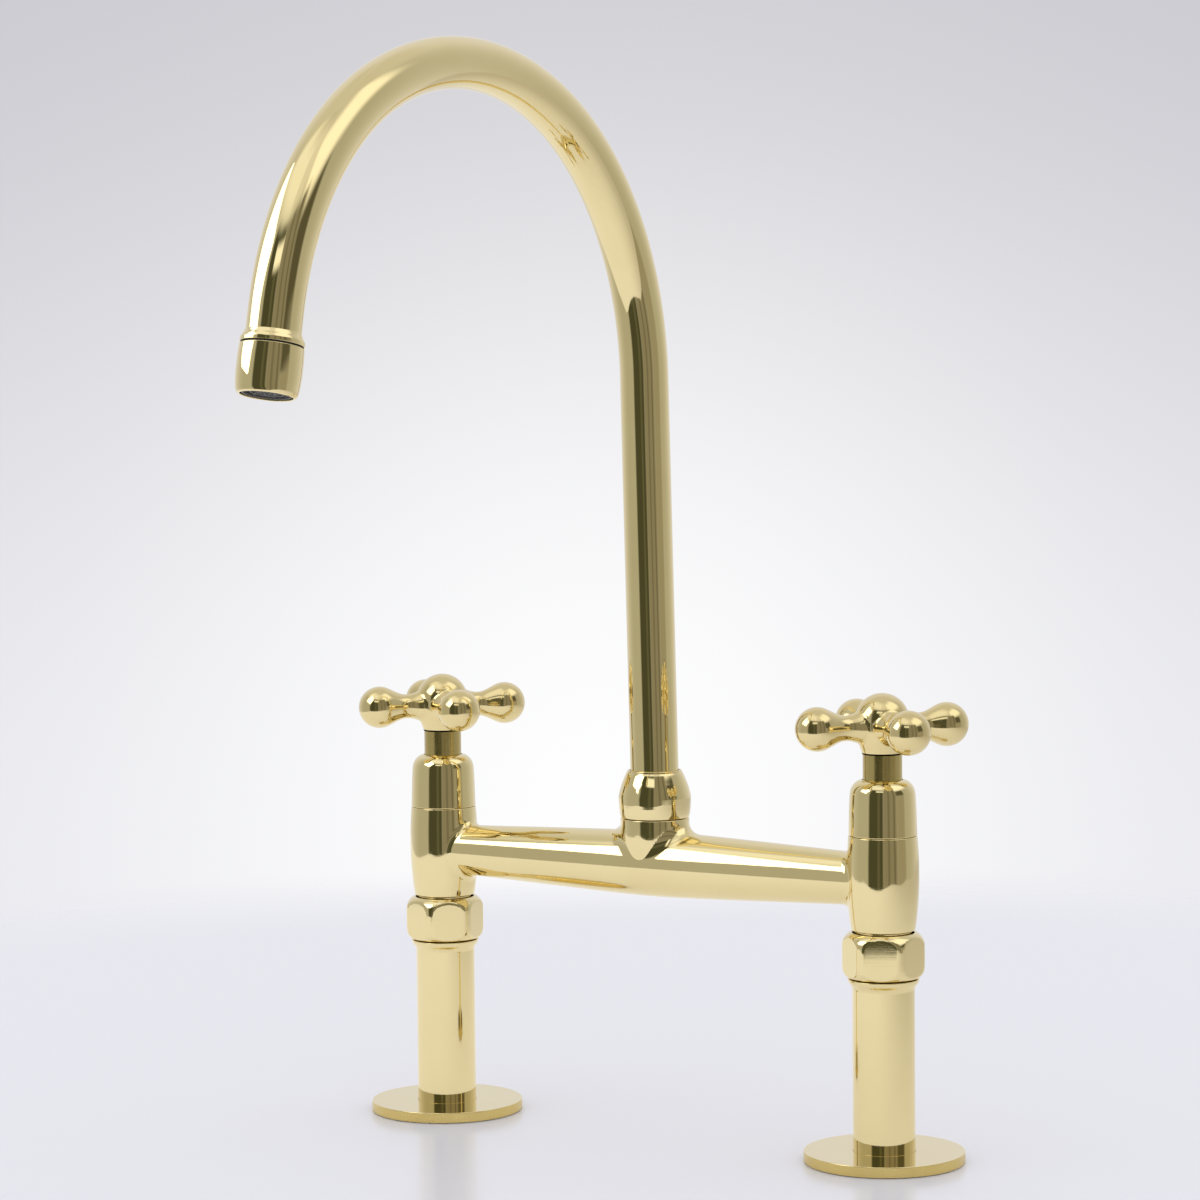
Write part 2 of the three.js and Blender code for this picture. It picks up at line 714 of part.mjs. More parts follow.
const THRUST_WASHER_BOTTOM = SPOUT_THREAD_TOP + FIT;
const SPIGOT_FLANGE_BOTTOM = THRUST_WASHER_BOTTOM + 1.3;
const SPIGOT_FLANGE_TOP = TUBE_BOTTOM - FIT;
const GUIDE_RING_TOP = TUBE_BOTTOM + 1.4;
const SPIGOT_RADIUS = TEE_BORE_RADIUS - FIT;
const SPIGOT_FLANGE_RADIUS = SPOUT_THREAD_RADIUS - 0.2;
const SPIGOT_RING_HEIGHTS = { lower: 120.2, upper: 126.2 };

function spoutNut() {
  const threadRadius = SPOUT_THREAD_RADIUS + FIT;
  const shoulder = GUIDE_RING_TOP + FIT;
  const bottom = TEE_TOP + FIT;
  return turned(
    [
      [threadRadius, bottom],
      [SPOUT_NUT_RADIUS - 0.6, bottom],
      [SPOUT_NUT_RADIUS - 0.15, bottom + 3.6],
      [SPOUT_NUT_RADIUS, SPOUT_NUT_CREASE],
      [SPOUT_NUT_RADIUS - 0.75, SPOUT_NUT_CREASE + 3.6],
      [SPOUT_NUT_RADIUS - 1.85, SPOUT_NUT_CREASE + 6.6],
      [TUBE_RADIUS + 1.75, SPOUT_NUT_TOP - 1.1],
      [TUBE_RADIUS + 0.9, SPOUT_NUT_TOP],
      [TUBE_RADIUS + FIT, SPOUT_NUT_TOP],
      [TUBE_RADIUS + FIT, shoulder],
      [threadRadius, shoulder],
    ],
    MEDIUM,
  );
}

function spoutThrustWasher() {
  const top = SPIGOT_FLANGE_BOTTOM - FIT;
  return ring(SPIGOT_RADIUS + 0.5, SPIGOT_FLANGE_RADIUS, THRUST_WASHER_BOTTOM, top, SMALL);
}

function spoutGuideRing() {
  return ring(TUBE_RADIUS + 0.4, SPOUT_THREAD_RADIUS, TUBE_BOTTOM, GUIDE_RING_TOP, MEDIUM);
}

/** The turned end of the spout: it plugs into the tee on two O-rings and into the tube above. */
function spoutSpigot() {
  const boreRadius = 5.6;
  const grooveRadius = SPIGOT_RADIUS - 1.7;
  const grooveHalfWidth = 1.2;
  const bottom = BRIDGE_HEIGHT + 7.8;
  const plugRadius = TUBE_BORE_RADIUS - 0.7;
  const plugTop = SPIGOT_FLANGE_TOP + 12;
  const outline = [[boreRadius, bottom], [SPIGOT_RADIUS, bottom]];
  for (const height of Object.values(SPIGOT_RING_HEIGHTS)) {
    outline.push(
      [SPIGOT_RADIUS, height - grooveHalfWidth],
      [grooveRadius, height - grooveHalfWidth],
      [grooveRadius, height + grooveHalfWidth],
      [SPIGOT_RADIUS, height + grooveHalfWidth],
    );
  }
  outline.push(
    [SPIGOT_RADIUS, SPIGOT_FLANGE_BOTTOM],
    [SPIGOT_FLANGE_RADIUS, SPIGOT_FLANGE_BOTTOM],
    [SPIGOT_FLANGE_RADIUS, SPIGOT_FLANGE_TOP],
    [plugRadius, SPIGOT_FLANGE_TOP],
    [plugRadius, plugTop],
    [boreRadius, plugTop],
  );
  return turned(outline, INNER);
}

// ---- Spout ----------------------------------------------------------------------------------

/** The tube's centre line: up through the nut, a leaning riser, the bends and a short leg. */
class SwanNeck extends THREE.Curve {
  constructor(endLength) {
    super();
    this.pieces = [];
    this.length = 0;
    this.point = new THREE.Vector3(0, 0, TUBE_BOTTOM);
    this.lean = 0; // angle of the centre line forward of straight up
    this.addStraight(SPOUT_NUT_TOP - TUBE_BOTTOM);
    this.lean = SPOUT_LEAN;
    this.addStraight((SPOUT_STRAIGHT_TOP - SPOUT_NUT_TOP) / Math.cos(SPOUT_LEAN));
    for (const { radius, sweep } of SPOUT_BENDS) this.addBend(radius, sweep);
    this.outlet = { point: this.along(SPOUT_LEG), lean: this.lean };
    this.addStraight(SPOUT_LEG + endLength);
  }

  direction() {
    return new THREE.Vector3(0, -Math.sin(this.lean), Math.cos(this.lean));
  }

  along(distance) {
    return this.point.clone().addScaledVector(this.direction(), distance);
  }

  addStraight(length) {
    this.pieces.push({ start: this.point, direction: this.direction(), length, from: this.length });
    this.point = this.along(length);
    this.length += length;
  }

  addBend(radius, sweep) {
    const inward = new THREE.Vector3(0, -Math.cos(this.lean), -Math.sin(this.lean));
    const centre = this.point.clone().addScaledVector(inward, radius);
    this.pieces.push({ centre, radius, lean: this.lean, length: radius * sweep, from: this.length });
    this.lean += sweep;
    this.length += radius * sweep;
    const outward = new THREE.Vector3(0, Math.cos(this.lean), Math.sin(this.lean));
    this.point = centre.clone().addScaledVector(outward, radius);
  }

  getPoint(share, target = new THREE.Vector3()) {
    const distance = share * this.length;
    const piece = this.pieces.findLast(({ from }) => distance >= from);
    const done = distance - piece.from;
    if (piece.direction) return target.copy(piece.start).addScaledVector(piece.direction, done);
    const angle = piece.lean + done / piece.radius;
    const outward = new THREE.Vector3(0, Math.cos(angle), Math.sin(angle));
    return target.copy(piece.centre).addScaledVector(outward, piece.radius);
  }
}

const THREAD_ENGAGEMENT = 5; // how far the tube's threaded end reaches into the aerator
const swanNeck = new SwanNeck(COLLAR_LENGTH + FIT + THREAD_ENGAGEMENT);

function spoutTube() {
  const section = new THREE.Shape(roundPoints(TUBE_RADIUS, 20));
  section.holes.push(new THREE.Path(roundPoints(TUBE_BORE_RADIUS, 10)));
  return new THREE.ExtrudeGeometry(section, { extrudePath: swanNeck, steps: 40 });
}

// The outlet's pieces are turned about the tube's end: height 0 is the top of the collar, and
// the group that holds them points +Z the way the water leaves.

function outletCollar() {
  const innerRadius = TUBE_RADIUS + FIT;
  return turned(
    [
      [innerRadius, 0],
      [innerRadius + 0.35, 0],
      [innerRadius + 0.6, 1],
      [COLLAR_RADIUS, 2.6],
      [COLLAR_RADIUS - 0.1, COLLAR_LENGTH],
      [innerRadius, COLLAR_LENGTH],
    ],
    MEDIUM,
  );
}

const AERATOR_TOP = COLLAR_LENGTH + 0.6;
const AERATOR_BOTTOM = AERATOR_TOP + AERATOR_LENGTH;
const OUTLET_WASHER_TOP = COLLAR_LENGTH + 2 * FIT + THREAD_ENGAGEMENT;
const OUTLET_WASHER_THICKNESS = 1.2;
const SCREEN_TOP = OUTLET_WASHER_TOP + OUTLET_WASHER_THICKNESS + FIT;
const SCREEN_THICKNESS = 0.5;
const INSERT_TOP = SCREEN_TOP + SCREEN_THICKNESS + FIT;
const INSERT_RIM = INSERT_TOP + 1.2;

function aeratorHousing() {
  const threadRadius = TUBE_RADIUS + FIT;
  const ledge = INSERT_RIM + FIT;
  return turned(
    [
      [threadRadius, AERATOR_TOP],
      [AERATOR_RADIUS - 0.3, AERATOR_TOP],
      [AERATOR_RADIUS - 0.15, AERATOR_TOP + 0.4],
      [AERATOR_RADIUS, AERATOR_TOP + 7],
      [AERATOR_RADIUS - 0.2, AERATOR_TOP + 12.5],
      [AERATOR_RADIUS - 0.6, AERATOR_TOP + 15.4],
      [AERATOR_RADIUS - 1.3, AERATOR_BOTTOM - 0.6],
      [AERATOR_RADIUS - 1.9, AERATOR_BOTTOM],
      [AERATOR_MOUTH_RADIUS, AERATOR_BOTTOM],
      [AERATOR_MOUTH_RADIUS, ledge],
      [threadRadius, ledge],
    ],
    MEDIUM,
  );
}

function aeratorWasher() {
  const bottom = OUTLET_WASHER_TOP + OUTLET_WASHER_THICKNESS;
  return ring(TUBE_BORE_RADIUS - 1, TUBE_RADIUS, OUTLET_WASHER_TOP, bottom, SMALL);
}

/** The steel disc that breaks the flow up before it meets the insert. */
function aeratorScreen() {
  const holeRadius = 0.9;
  const holeCircleRadius = 5;
  const shape = new THREE.Shape(roundPoints(TUBE_RADIUS - 0.1, SMALL));
  for (const centre of roundPoints(holeCircleRadius, 8)) {
    shape.holes.push(new THREE.Path(roundPoints(holeRadius, 5, centre)));
  }
  return raised(shape, SCREEN_TOP, SCREEN_TOP + SCREEN_THICKNESS);
}

/** The plastic cage: a rim that rests on the housing's ledge, over a body of open cells. */
function aeratorInsert() {
  const bodyRadius = AERATOR_MOUTH_RADIUS - FIT;
  const insertBottom = AERATOR_BOTTOM - 1.2;
  const cellRadius = 2.6;
  const cellPitch = 5.4;
  const body = new THREE.Shape(roundPoints(bodyRadius, SMALL));
  for (const centre of [new THREE.Vector2(), ...roundPoints(cellPitch, 6)]) {
    body.holes.push(new THREE.Path(roundPoints(cellRadius, 6, centre)));
  }
  const rim = ring(bodyRadius - 0.2, TUBE_RADIUS, INSERT_TOP, INSERT_RIM, SMALL);
  return joined(raised(body, INSERT_TOP, insertBottom), rim);
}

// ---- Assembly -------------------------------------------------------------------------------

function supplySide(side, x, nutTurn) {
  const group = new THREE.Group();
  group.position.x = x;
  group.add(
    piece(`${side}_deck_flange`, deckFlange(), 'polishedBrass'),
    piece(`${side}_flange_seal`, flangeSeal(), 'rubber'),
    piece(`${side}_pillar`, pillar(), 'polishedBrass'),
    piece(`${side}_union_nut`, unionNut(nutTurn), 'polishedBrass'),
    piece(`${side}_union_washer`, unionWasher(), 'fibre'),
    piece(`${side}_bonnet`, bonnet(), 'polishedBrass'),
    piece(`${side}_cartridge_body`, cartridgeBody(), 'rawBrass'),
    piece(`${side}_fixed_disc`, fixedDisc(), 'ceramic'),
    piece(`${side}_seat_seal`, seatSeal(), 'rubber'),
  );
  return group;
}

/** Everything that turns with one handle, about the stem's axis. */
function handle(side, x) {
  const group = new THREE.Group();
  group.position.x = x;
  group.rotation.z = HANDLE_TURN;
  group.add(
    piece(`${side}_cross_handle`, crossHandle(), 'polishedBrass'),
    piece(`${side}_handle_screw`, handleScrew(), 'steel'),
    piece(`${side}_stem_sleeve`, stemSleeve(), 'turnedBrass'),
    piece(`${side}_spindle`, spindle(), 'rawBrass'),
    piece(`${side}_spindle_clip`, spindleClip(), 'steel'),
    piece(`${side}_spindle_o_ring`, oRing(3.6, 0.48, SPINDLE_RING_HEIGHT, INNER), 'rubber'),
    piece(`${side}_moving_disc`, movingDisc(), 'ceramic'),
  );
  return group;
}

/** Everything that swivels with the spout. */
function spout() {
  const outlet = new THREE.Group();
  outlet.position.copy(swanNeck.outlet.point);
  outlet.rotation.x = swanNeck.outlet.lean;
  outlet.add(
    piece('outlet_collar', outletCollar(), 'polishedBrass'),
    piece('aerator_housing', aeratorHousing(), 'polishedBrass'),
    piece('aerator_washer', aeratorWasher(), 'rubber'),
    piece('aerator_screen', aeratorScreen(), 'steel'),
    piece('aerator_insert', aeratorInsert(), 'greyPlastic'),
  );
  const group = new THREE.Group();
  group.add(
    piece('spout_tube', spoutTube(), 'polishedBrass'),
    piece('spout_spigot', spoutSpigot(), 'rawBrass'),
    piece('spout_lower_o_ring', oRing(7.2, 0.75, SPIGOT_RING_HEIGHTS.lower, SMALL), 'rubber'),
    piece('spout_upper_o_ring', oRing(7.2, 0.75, SPIGOT_RING_HEIGHTS.upper, SMALL), 'rubber'),
    outlet,
  );
  return group;
}

const faucet = new THREE.Group();
faucet.add(
  piece('bridge_body', bridgeBody(), 'polishedBrass'),
  piece('spout_nut', spoutNut(), 'polishedBrass'),
  piece('spout_thrust_washer', spoutThrustWasher(), 'nylon'),
  piece('spout_guide_ring', spoutGuideRing(), 'nylon'),
  supplySide('left', -PILLAR_CENTRES / 2, LEFT_NUT_TURN),
  supplySide('right', PILLAR_CENTRES / 2, RIGHT_NUT_TURN),
  handle('left', -PILLAR_CENTRES / 2),
  handle('right', PILLAR_CENTRES / 2),
  spout(),
);

// The origin goes to the middle of the footprint, which runs from the aerator to the flanges.
const footprint = new THREE.Box3().setFromObject(faucet, true);
faucet.position.y = -(footprint.min.y + footprint.max.y) / 2;

export default faucet;
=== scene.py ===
import math

import bmesh
import bpy
import numpy as np
from mathutils import Matrix, Vector


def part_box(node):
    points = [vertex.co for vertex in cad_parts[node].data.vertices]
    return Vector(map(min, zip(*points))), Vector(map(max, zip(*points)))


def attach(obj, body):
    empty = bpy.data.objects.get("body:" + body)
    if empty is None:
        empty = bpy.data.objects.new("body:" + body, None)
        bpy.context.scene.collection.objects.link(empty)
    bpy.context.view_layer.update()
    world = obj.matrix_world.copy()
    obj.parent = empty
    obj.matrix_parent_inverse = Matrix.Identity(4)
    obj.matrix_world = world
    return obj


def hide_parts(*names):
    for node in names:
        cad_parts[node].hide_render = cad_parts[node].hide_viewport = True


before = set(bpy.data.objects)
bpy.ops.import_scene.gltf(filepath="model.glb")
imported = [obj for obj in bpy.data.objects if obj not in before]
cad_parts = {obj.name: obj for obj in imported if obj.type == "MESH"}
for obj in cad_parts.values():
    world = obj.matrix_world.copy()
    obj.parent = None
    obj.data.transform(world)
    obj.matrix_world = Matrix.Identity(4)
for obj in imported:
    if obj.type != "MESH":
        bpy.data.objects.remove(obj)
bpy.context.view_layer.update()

# Bridge kitchen faucet in polished brass. Shapes are worked out in millimetres: x = y = 0 is the
# spout's swivel axis, z = 0 the deck. They are moved to the frame, in metres, when a piece is made.

MM = 0.001


def middle(node):
    low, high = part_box(node)
    return (low + high) / 2 / MM


SWIVEL = middle("spout_nut")
SWIVEL.z = 0
SIDES = {side: middle(side + "_pillar").x for side in ("left", "right")}

# ---- Materials ------------------------------------------------------------------------------


def linear(code):
    """A colour from its sRGB hex code."""
    parts = [int(code[i : i + 2], 16) / 255 for i in (1, 3, 5)]
    return [c / 12.92 if c <= 0.04045 else ((c + 0.055) / 1.055) ** 2.4 for c in parts] + [1]


def add(tree, kind, inputs=None, **settings):
    """Adds a node to a tree. Each input is a value, or another node's output socket."""
    made = tree.nodes.new(kind)
    for name, value in settings.items():
        setattr(made, name, value)
    for name, value in (inputs or {}).items():
        if isinstance(value, bpy.types.NodeSocket):
            tree.links.new(value, made.inputs[name])
        else:
            made.inputs[name].default_value = value
    return made


def maths(tree, operation, a, b=0.0, c=0.0):
    return add(tree, "ShaderNodeMath", {0: a, 1: b, 2: c}, operation=operation).outputs[0]


def surface(name, colour, worn, roughness, spread, metallic, grains, bump, **fixed):
    """
    A finish whose colour and roughness wander a little. Each grain is a noise given by the size
    of its marks in mm along X, Y and Z and its share of the bump, whose depth is also in mm.
    """
    made = bpy.data.materials.new(name)
    made.use_nodes = True
    tree = made.node_tree
    tree.nodes.clear()
    place = add(tree, "ShaderNodeTexCoord").outputs["Object"]
    height = 0.0
    for size, share in grains:
        scale = [1 / (MM * s) for s in size]
        stretched = add(tree, "ShaderNodeMapping", {"Vector": place, "Scale": scale})
        marks = add(
            tree,
            "ShaderNodeTexNoise",
            {"Vector": stretched.outputs[0], "Scale": 1.0, "Detail": 3.0, "Roughness": 0.6},
        ).outputs["Fac"]
        height = maths(tree, "MULTIPLY_ADD", marks, share, height)
    patches = add(
        tree, "ShaderNodeTexNoise", {"Vector": place, "Scale": 1 / (MM * 22), "Detail": 2.0}
    ).outputs["Fac"]
    tint = add(
        tree,
        "ShaderNodeMix",
        {"Factor": patches, "A": linear(colour), "B": linear(worn)},
        data_type="RGBA",
    )
    rough = add(
        tree,
        "ShaderNodeMapRange",
        {"Value": marks, 1: 0.3, 2: 0.7, 3: roughness, 4: roughness + spread},
    ).outputs[0]
    relief = add(tree, "ShaderNodeBump", {"Strength": 1.0, "Distance": bump * MM, "Height": height})
    shader = add(
        tree,
        "ShaderNodeBsdfPrincipled",
        {
            "Base Color": tint.outputs["Result"],
            "Roughness": rough,
            "Metallic": metallic,
            "Normal": relief.outputs[0],
            **fixed,
        },
    )
    add(tree, "ShaderNodeOutputMaterial", {"Surface": shader.outputs[0]})
    return made


# Cast brass, ground and buffed: a mirror that still rolls gently, with a fine haze of buff marks.
CAST = surface(
    "buffed_cast_brass", "#F0E0AE", "#ECDAA4", 0.035, 0.03, 1.0,
    [((26, 26, 26), 0.9), ((3.0, 3.0, 0.5), 0.1)], 0.02,
)
# The cross handles are cast too, and buffed by hand on a soft wheel: a mirror gone a little soft.
SOFT_CAST = surface(
    "hand_buffed_cast_brass", "#EDDCA8", "#E6D29A", 0.085, 0.05, 1.0,
    [((14, 14, 14), 0.9), ((1.5, 1.5, 1.5), 0.1)], 0.02,
)
# Bar brass, turned and buffed: truer than the casting, with faint rings left by the lathe.
TURNED = surface(
    "buffed_turned_brass", "#F0E0AE", "#ECDAA4", 0.03, 0.03, 1.0,
    [((30, 30, 40), 0.8), ((40, 40, 0.35), 0.2)], 0.008,
)
# Drawn brass tube, bent and buffed: long faint streaks along the draw.
DRAWN = surface(
    "buffed_drawn_brass_tube", "#F0E0AE", "#EBD9A2", 0.03, 0.03, 1.0,
    [((30, 30, 60), 0.85), ((1.2, 6, 30), 0.15)], 0.01,
)
# The flange's rim keeps its lathe finish, so it is warmer and softer than the mirror above it.
RIM = surface(
    "lathe_turned_brass_rim", "#DCC684", "#D3BA74", 0.26, 0.06, 1.0,
    [((10, 10, 0.4), 0.6), ((5, 5, 5), 0.4)], 0.003,
)
# The sleeve is fine turned and not buffed: dull, with rings 0.15 mm apart.
SLEEVE = surface(
    "fine_turned_brass", "#CBB87C", "#BDA96C", 0.17, 0.06, 1.0,
    [((20, 20, 0.15), 0.8), ((6, 6, 6), 0.2)], 0.003,
)
# As machined brass, unseen inside: tool rings 0.3 mm apart and a browner tint.
MACHINED = surface(
    "machined_brass", "#C9A560", "#B8924C", 0.35, 0.15, 1.0,
    [((20, 20, 0.3), 0.8), ((5, 5, 5), 0.2)], 0.02,
)
# Stainless steel, cold formed: grey, satin.
STEEL = surface(
    "formed_stainless_steel", "#B9BBBD", "#A9ABAE", 0.25, 0.15, 1.0,
    [((0.6, 0.6, 0.6), 0.6), ((4, 4, 4), 0.4)], 0.01,
)
# Moulded EPDM rubber: matt black with a fine mould grain.
RUBBER = surface(
    "moulded_epdm_rubber", "#1C1C1C", "#262524", 0.7, 0.2, 0.0,
    [((0.3, 0.3, 0.3), 0.8), ((3, 3, 3), 0.2)], 0.03,
)
# Vulcanised fibre, punched: brick red, with the paper's cloudy grain.
FIBRE = surface(
    "punched_vulcanised_fibre", "#6A2F24", "#7C3B2D", 0.75, 0.2, 0.0,
    [((1.5, 1.5, 0.2), 0.7), ((0.3, 0.3, 0.3), 0.3)], 0.05,
)
# Alumina, ground and lapped: cold white with a soft gloss.
ALUMINA = surface(
    "lapped_alumina", "#EFECE4", "#E6E2D8", 0.15, 0.1, 0.0,
    [((0.4, 0.4, 0.4), 0.7), ((5, 5, 5), 0.3)], 0.005, IOR=1.76,
)
# Nylon, moulded: milky and slightly waxy.
NYLON = surface(
    "moulded_nylon", "#E9E6DC", "#DFDBCE", 0.4, 0.15, 0.0,
    [((0.5, 0.5, 0.5), 0.6), ((4, 4, 4), 0.4)], 0.015,
)
# Acetal, moulded: dark grey, satin, with a spark-eroded mould texture.
ACETAL = surface(
    "moulded_grey_acetal", "#4C4B49", "#5A5956", 0.45, 0.15, 0.0,
    [((0.25, 0.25, 0.25), 0.7), ((2, 2, 2), 0.3)], 0.02,
)

# ---- Turned shapes --------------------------------------------------------------------------


def smooth_curve(knots):
    """A curve through [place, radius] knots with no break in its bend: gives radius and slope."""
    x, y = np.array(knots, float).T
    count, step = len(x), np.diff(x)
    system, load = np.eye(count), np.zeros(count)
    for i in range(1, count - 1):
        system[i, i - 1 : i + 2] = step[i - 1], 2 * (step[i - 1] + step[i]), step[i]
        load[i] = 6 * ((y[i + 1] - y[i]) / step[i] - (y[i] - y[i - 1]) / step[i - 1])
    bend = np.linalg.solve(system, load)
    fine = np.linspace(x[0], x[-1], 600)
    i = np.clip(np.searchsorted(x, fine) - 1, 0, count - 2)
    a, b = (x[i + 1] - fine) / step[i], (fine - x[i]) / step[i]
    radius = a * y[i] + b * y[i + 1]
    radius += ((a**3 - a) * bend[i] + (b**3 - b) * bend[i + 1]) * step[i] ** 2 / 6
    slope = np.gradient(radius, fine)

    def at(place):
        return np.interp(place, fine, radius), np.interp(place, fine, slope, left=0, right=0)

    return at


def profile(curve, start, end, step=0.8):
    """Points [radius, height] along a smooth curve, for use in a section."""
    count = max(2, round(abs(end - start) / step) + 1)
    return [[float(curve(z)[0]), z] for z in np.linspace(start, end, count)]


def rounded(corners, stretch=None, open_ends=False):
    """
    Points and outward normals along a section given by corners [radius, height, rounding], which
    run anticlockwise. A corner with no rounding of its own is rounded as far as there is room.
    """
    spots = np.array([c[:2] for c in corners], float)
    count = len(spots)
    points, normals = [], []
    for i, corner in enumerate(corners):
        into, out = spots[i] - spots[i - 1], spots[(i + 1) % count] - spots[i]
        lengths = np.linalg.norm(into), np.linalg.norm(out)
        into, out = into / lengths[0], out / lengths[1]
        if open_ends and i in (0, count - 1):
            along = out if i == 0 else into
            points.append(spots[i])
            normals.append([along[1], -along[0]])
            continue
        bend = math.atan2(into[0] * out[1] - into[1] * out[0], into @ out)
        reach = 0.499 * min(lengths)
        if len(corner) > 2:
            reach = min(reach, corner[2] * math.tan(abs(bend) / 2))
        steps = max(1, math.ceil(abs(bend) / math.radians(12)))
        radius = reach / max(math.tan(abs(bend) / 2), 1e-9) * (1 if bend > 0 else -1)
        start = spots[i] - into * reach
        centre = start + radius * np.array([-into[1], into[0]])
        for k in range(steps + 1):
            angle = bend * k / steps
            c, s = math.cos(angle), math.sin(angle)
            along = np.array([into[0] * c - into[1] * s, into[0] * s + into[1] * c])
            normal = np.array([along[1], -along[0]])
            points.append(centre + radius * normal)
            normals.append(normal)
    if stretch:  # no gap along the section longer than this
        dense, dense_normals = [], []
        total = len(points)
        for i in range(total if not open_ends else total - 1):
            a, b = np.array(points[i]), np.array(points[(i + 1) % total])
            na, nb = np.array(normals[i]), np.array(normals[(i + 1) % total])
            parts = max(1, math.ceil(np.linalg.norm(b - a) / stretch))
            for k in range(parts):
                dense.append(a + (b - a) * k / parts)
                dense_normals.append(na + (nb - na) * k / parts)
        if open_ends:
            dense.append(points[-1])
            dense_normals.append(normals[-1])
        points, normals = dense, dense_normals
    return np.array(points), np.array(normals)


def turned(section, facets=96, stretch=None, shape=None, path=None):
    """
    A closed section turned about Z. shape changes the radius round the axis, as on a hexagon;
    path gives the middle and the directions of each height, as on a bent tube.
    """
    points, normals = rounded(section, stretch)
    angles = np.linspace(0, 2 * math.pi, facets, endpoint=False)
    radius = np.repeat(points[:, :1], facets, 1)
    height = np.repeat(points[:, 1:], facets, 1)
    if shape:
        radius = shape(angles[None, :], radius)
    c, s = np.cos(angles), np.sin(angles)
    spots = np.stack([radius * c, radius * s, height], -1)
    if shape:
        around = np.roll(spots, -1, 1) - np.roll(spots, 1, 1)
        along = np.roll(spots, -1, 0) - np.roll(spots, 1, 0)
        facing = np.cross(around, along)
        facing /= np.maximum(np.linalg.norm(facing, axis=-1, keepdims=True), 1e-12)
    else:
        across = normals[:, :1]
        facing = np.stack([across * c, across * s, np.repeat(normals[:, 1:], facets, 1)], -1)
    if path:
        middles, sideways, forward, onward = path(points[:, 1])
        spots = (
            middles[:, None]
            + spots[..., :1] * sideways[:, None]
            + spots[..., 1:2] * forward[:, None]
        )
        facing = (
            facing[..., :1] * sideways[:, None]
            + facing[..., 1:2] * forward[:, None]
            + facing[..., 2:] * onward[:, None]
        )
    rows, turns = len(points), np.arange(facets)
    start = np.arange(rows)[:, None] * facets
    after = np.roll(start, -1, 0)
    here, beside = start + turns, start + np.roll(turns, -1)
    faces = np.stack([here, beside, after + np.roll(turns, -1), after + turns], -1)
    return spots.reshape(-1, 3), faces.reshape(-1, 4), facing.reshape(-1, 3)


def piece(name, mesh, body, finish, replaced=(), place=None, extra=None):
    """
    Makes a piece from points in mm, puts it in the frame and lets it ride on its body. extra is a
    second finish and a function that picks the faces that have it.
    """
    spots, faces, normals = mesh
    place = Matrix.Translation(SWIVEL) @ (place or Matrix())
    turn = np.array(place.to_3x3())
    spots = (spots @ turn.T + np.array(place.translation)) * MM
    normals = normals @ turn.T
    data = bpy.data.meshes.new(name)
    data.from_pydata(spots.tolist(), [], [list(map(int, f)) for f in faces])
    data.materials.append(finish)
    if extra:
        second, chosen = extra
        data.materials.append(second)
        data.polygons.foreach_set("material_index", chosen(data).astype(np.int32))
    data.update()
    data.normals_split_custom_set_from_vertices(normals.tolist())
    made = bpy.data.objects.new(name, data)
    bpy.context.scene.collection.objects.link(made)
    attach(made, body)
    if replaced:
        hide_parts(*replaced)
    return made


# ---- Shapes cut from a distance field -------------------------------------------------------


def around(along, across, curve):
    """Distance to a body turned about an axis, and its direction along and across that axis."""
    away = np.linalg.norm(across, axis=1)
    radius, slope = curve(along)
    length = np.sqrt(1 + slope**2)
    outward = across / np.maximum(away, 1e-9)[:, None]
    direction = np.column_stack([-slope / length, outward / length[:, None]])
    return (away - radius) / length, direction


def filleted(first, second, radius):
    """Joins two bodies with the fillet that a ball of that radius leaves as it rolls between."""
    (a, na), (b, nb) = first, second
    c = np.clip((na * nb).sum(1), -0.995, 0.995)
    u, v = radius - a, radius - b
    rolling = (u > c * v) & (v > c * u)
    gap = np.sqrt(np.maximum(u * u + v * v - 2 * c * u * v, 1e-18) / (1 - c * c))
    toward = (u - c * v)[:, None] * na + (v - c * u)[:, None] * nb
    toward /= np.maximum(np.linalg.norm(toward, axis=1, keepdims=True), 1e-12)
    near = a < b
    distance = np.where(rolling, radius - gap, np.where(near, a, b))
    normal = np.where(rolling[:, None], toward, np.where(near[:, None], na, nb))
    return distance, normal


def slope_of(field, spots, reach=0.02):
    """How fast a field grows along X, Y and Z at each point."""
    rise = [field(spots + shift) - field(spots - shift) for shift in reach * np.eye(3)]
    return np.column_stack(rise) / (2 * reach)


def onto(field, spots, rounds=4):
    """Moves points onto the surface where a field is zero."""
    for _ in range(rounds):
        rise = slope_of(field, spots)
        step = field(spots) / np.maximum((rise**2).sum(1), 0.05)
        spots = spots - np.clip(step, -0.5, 0.5)[:, None] * rise
    return spots


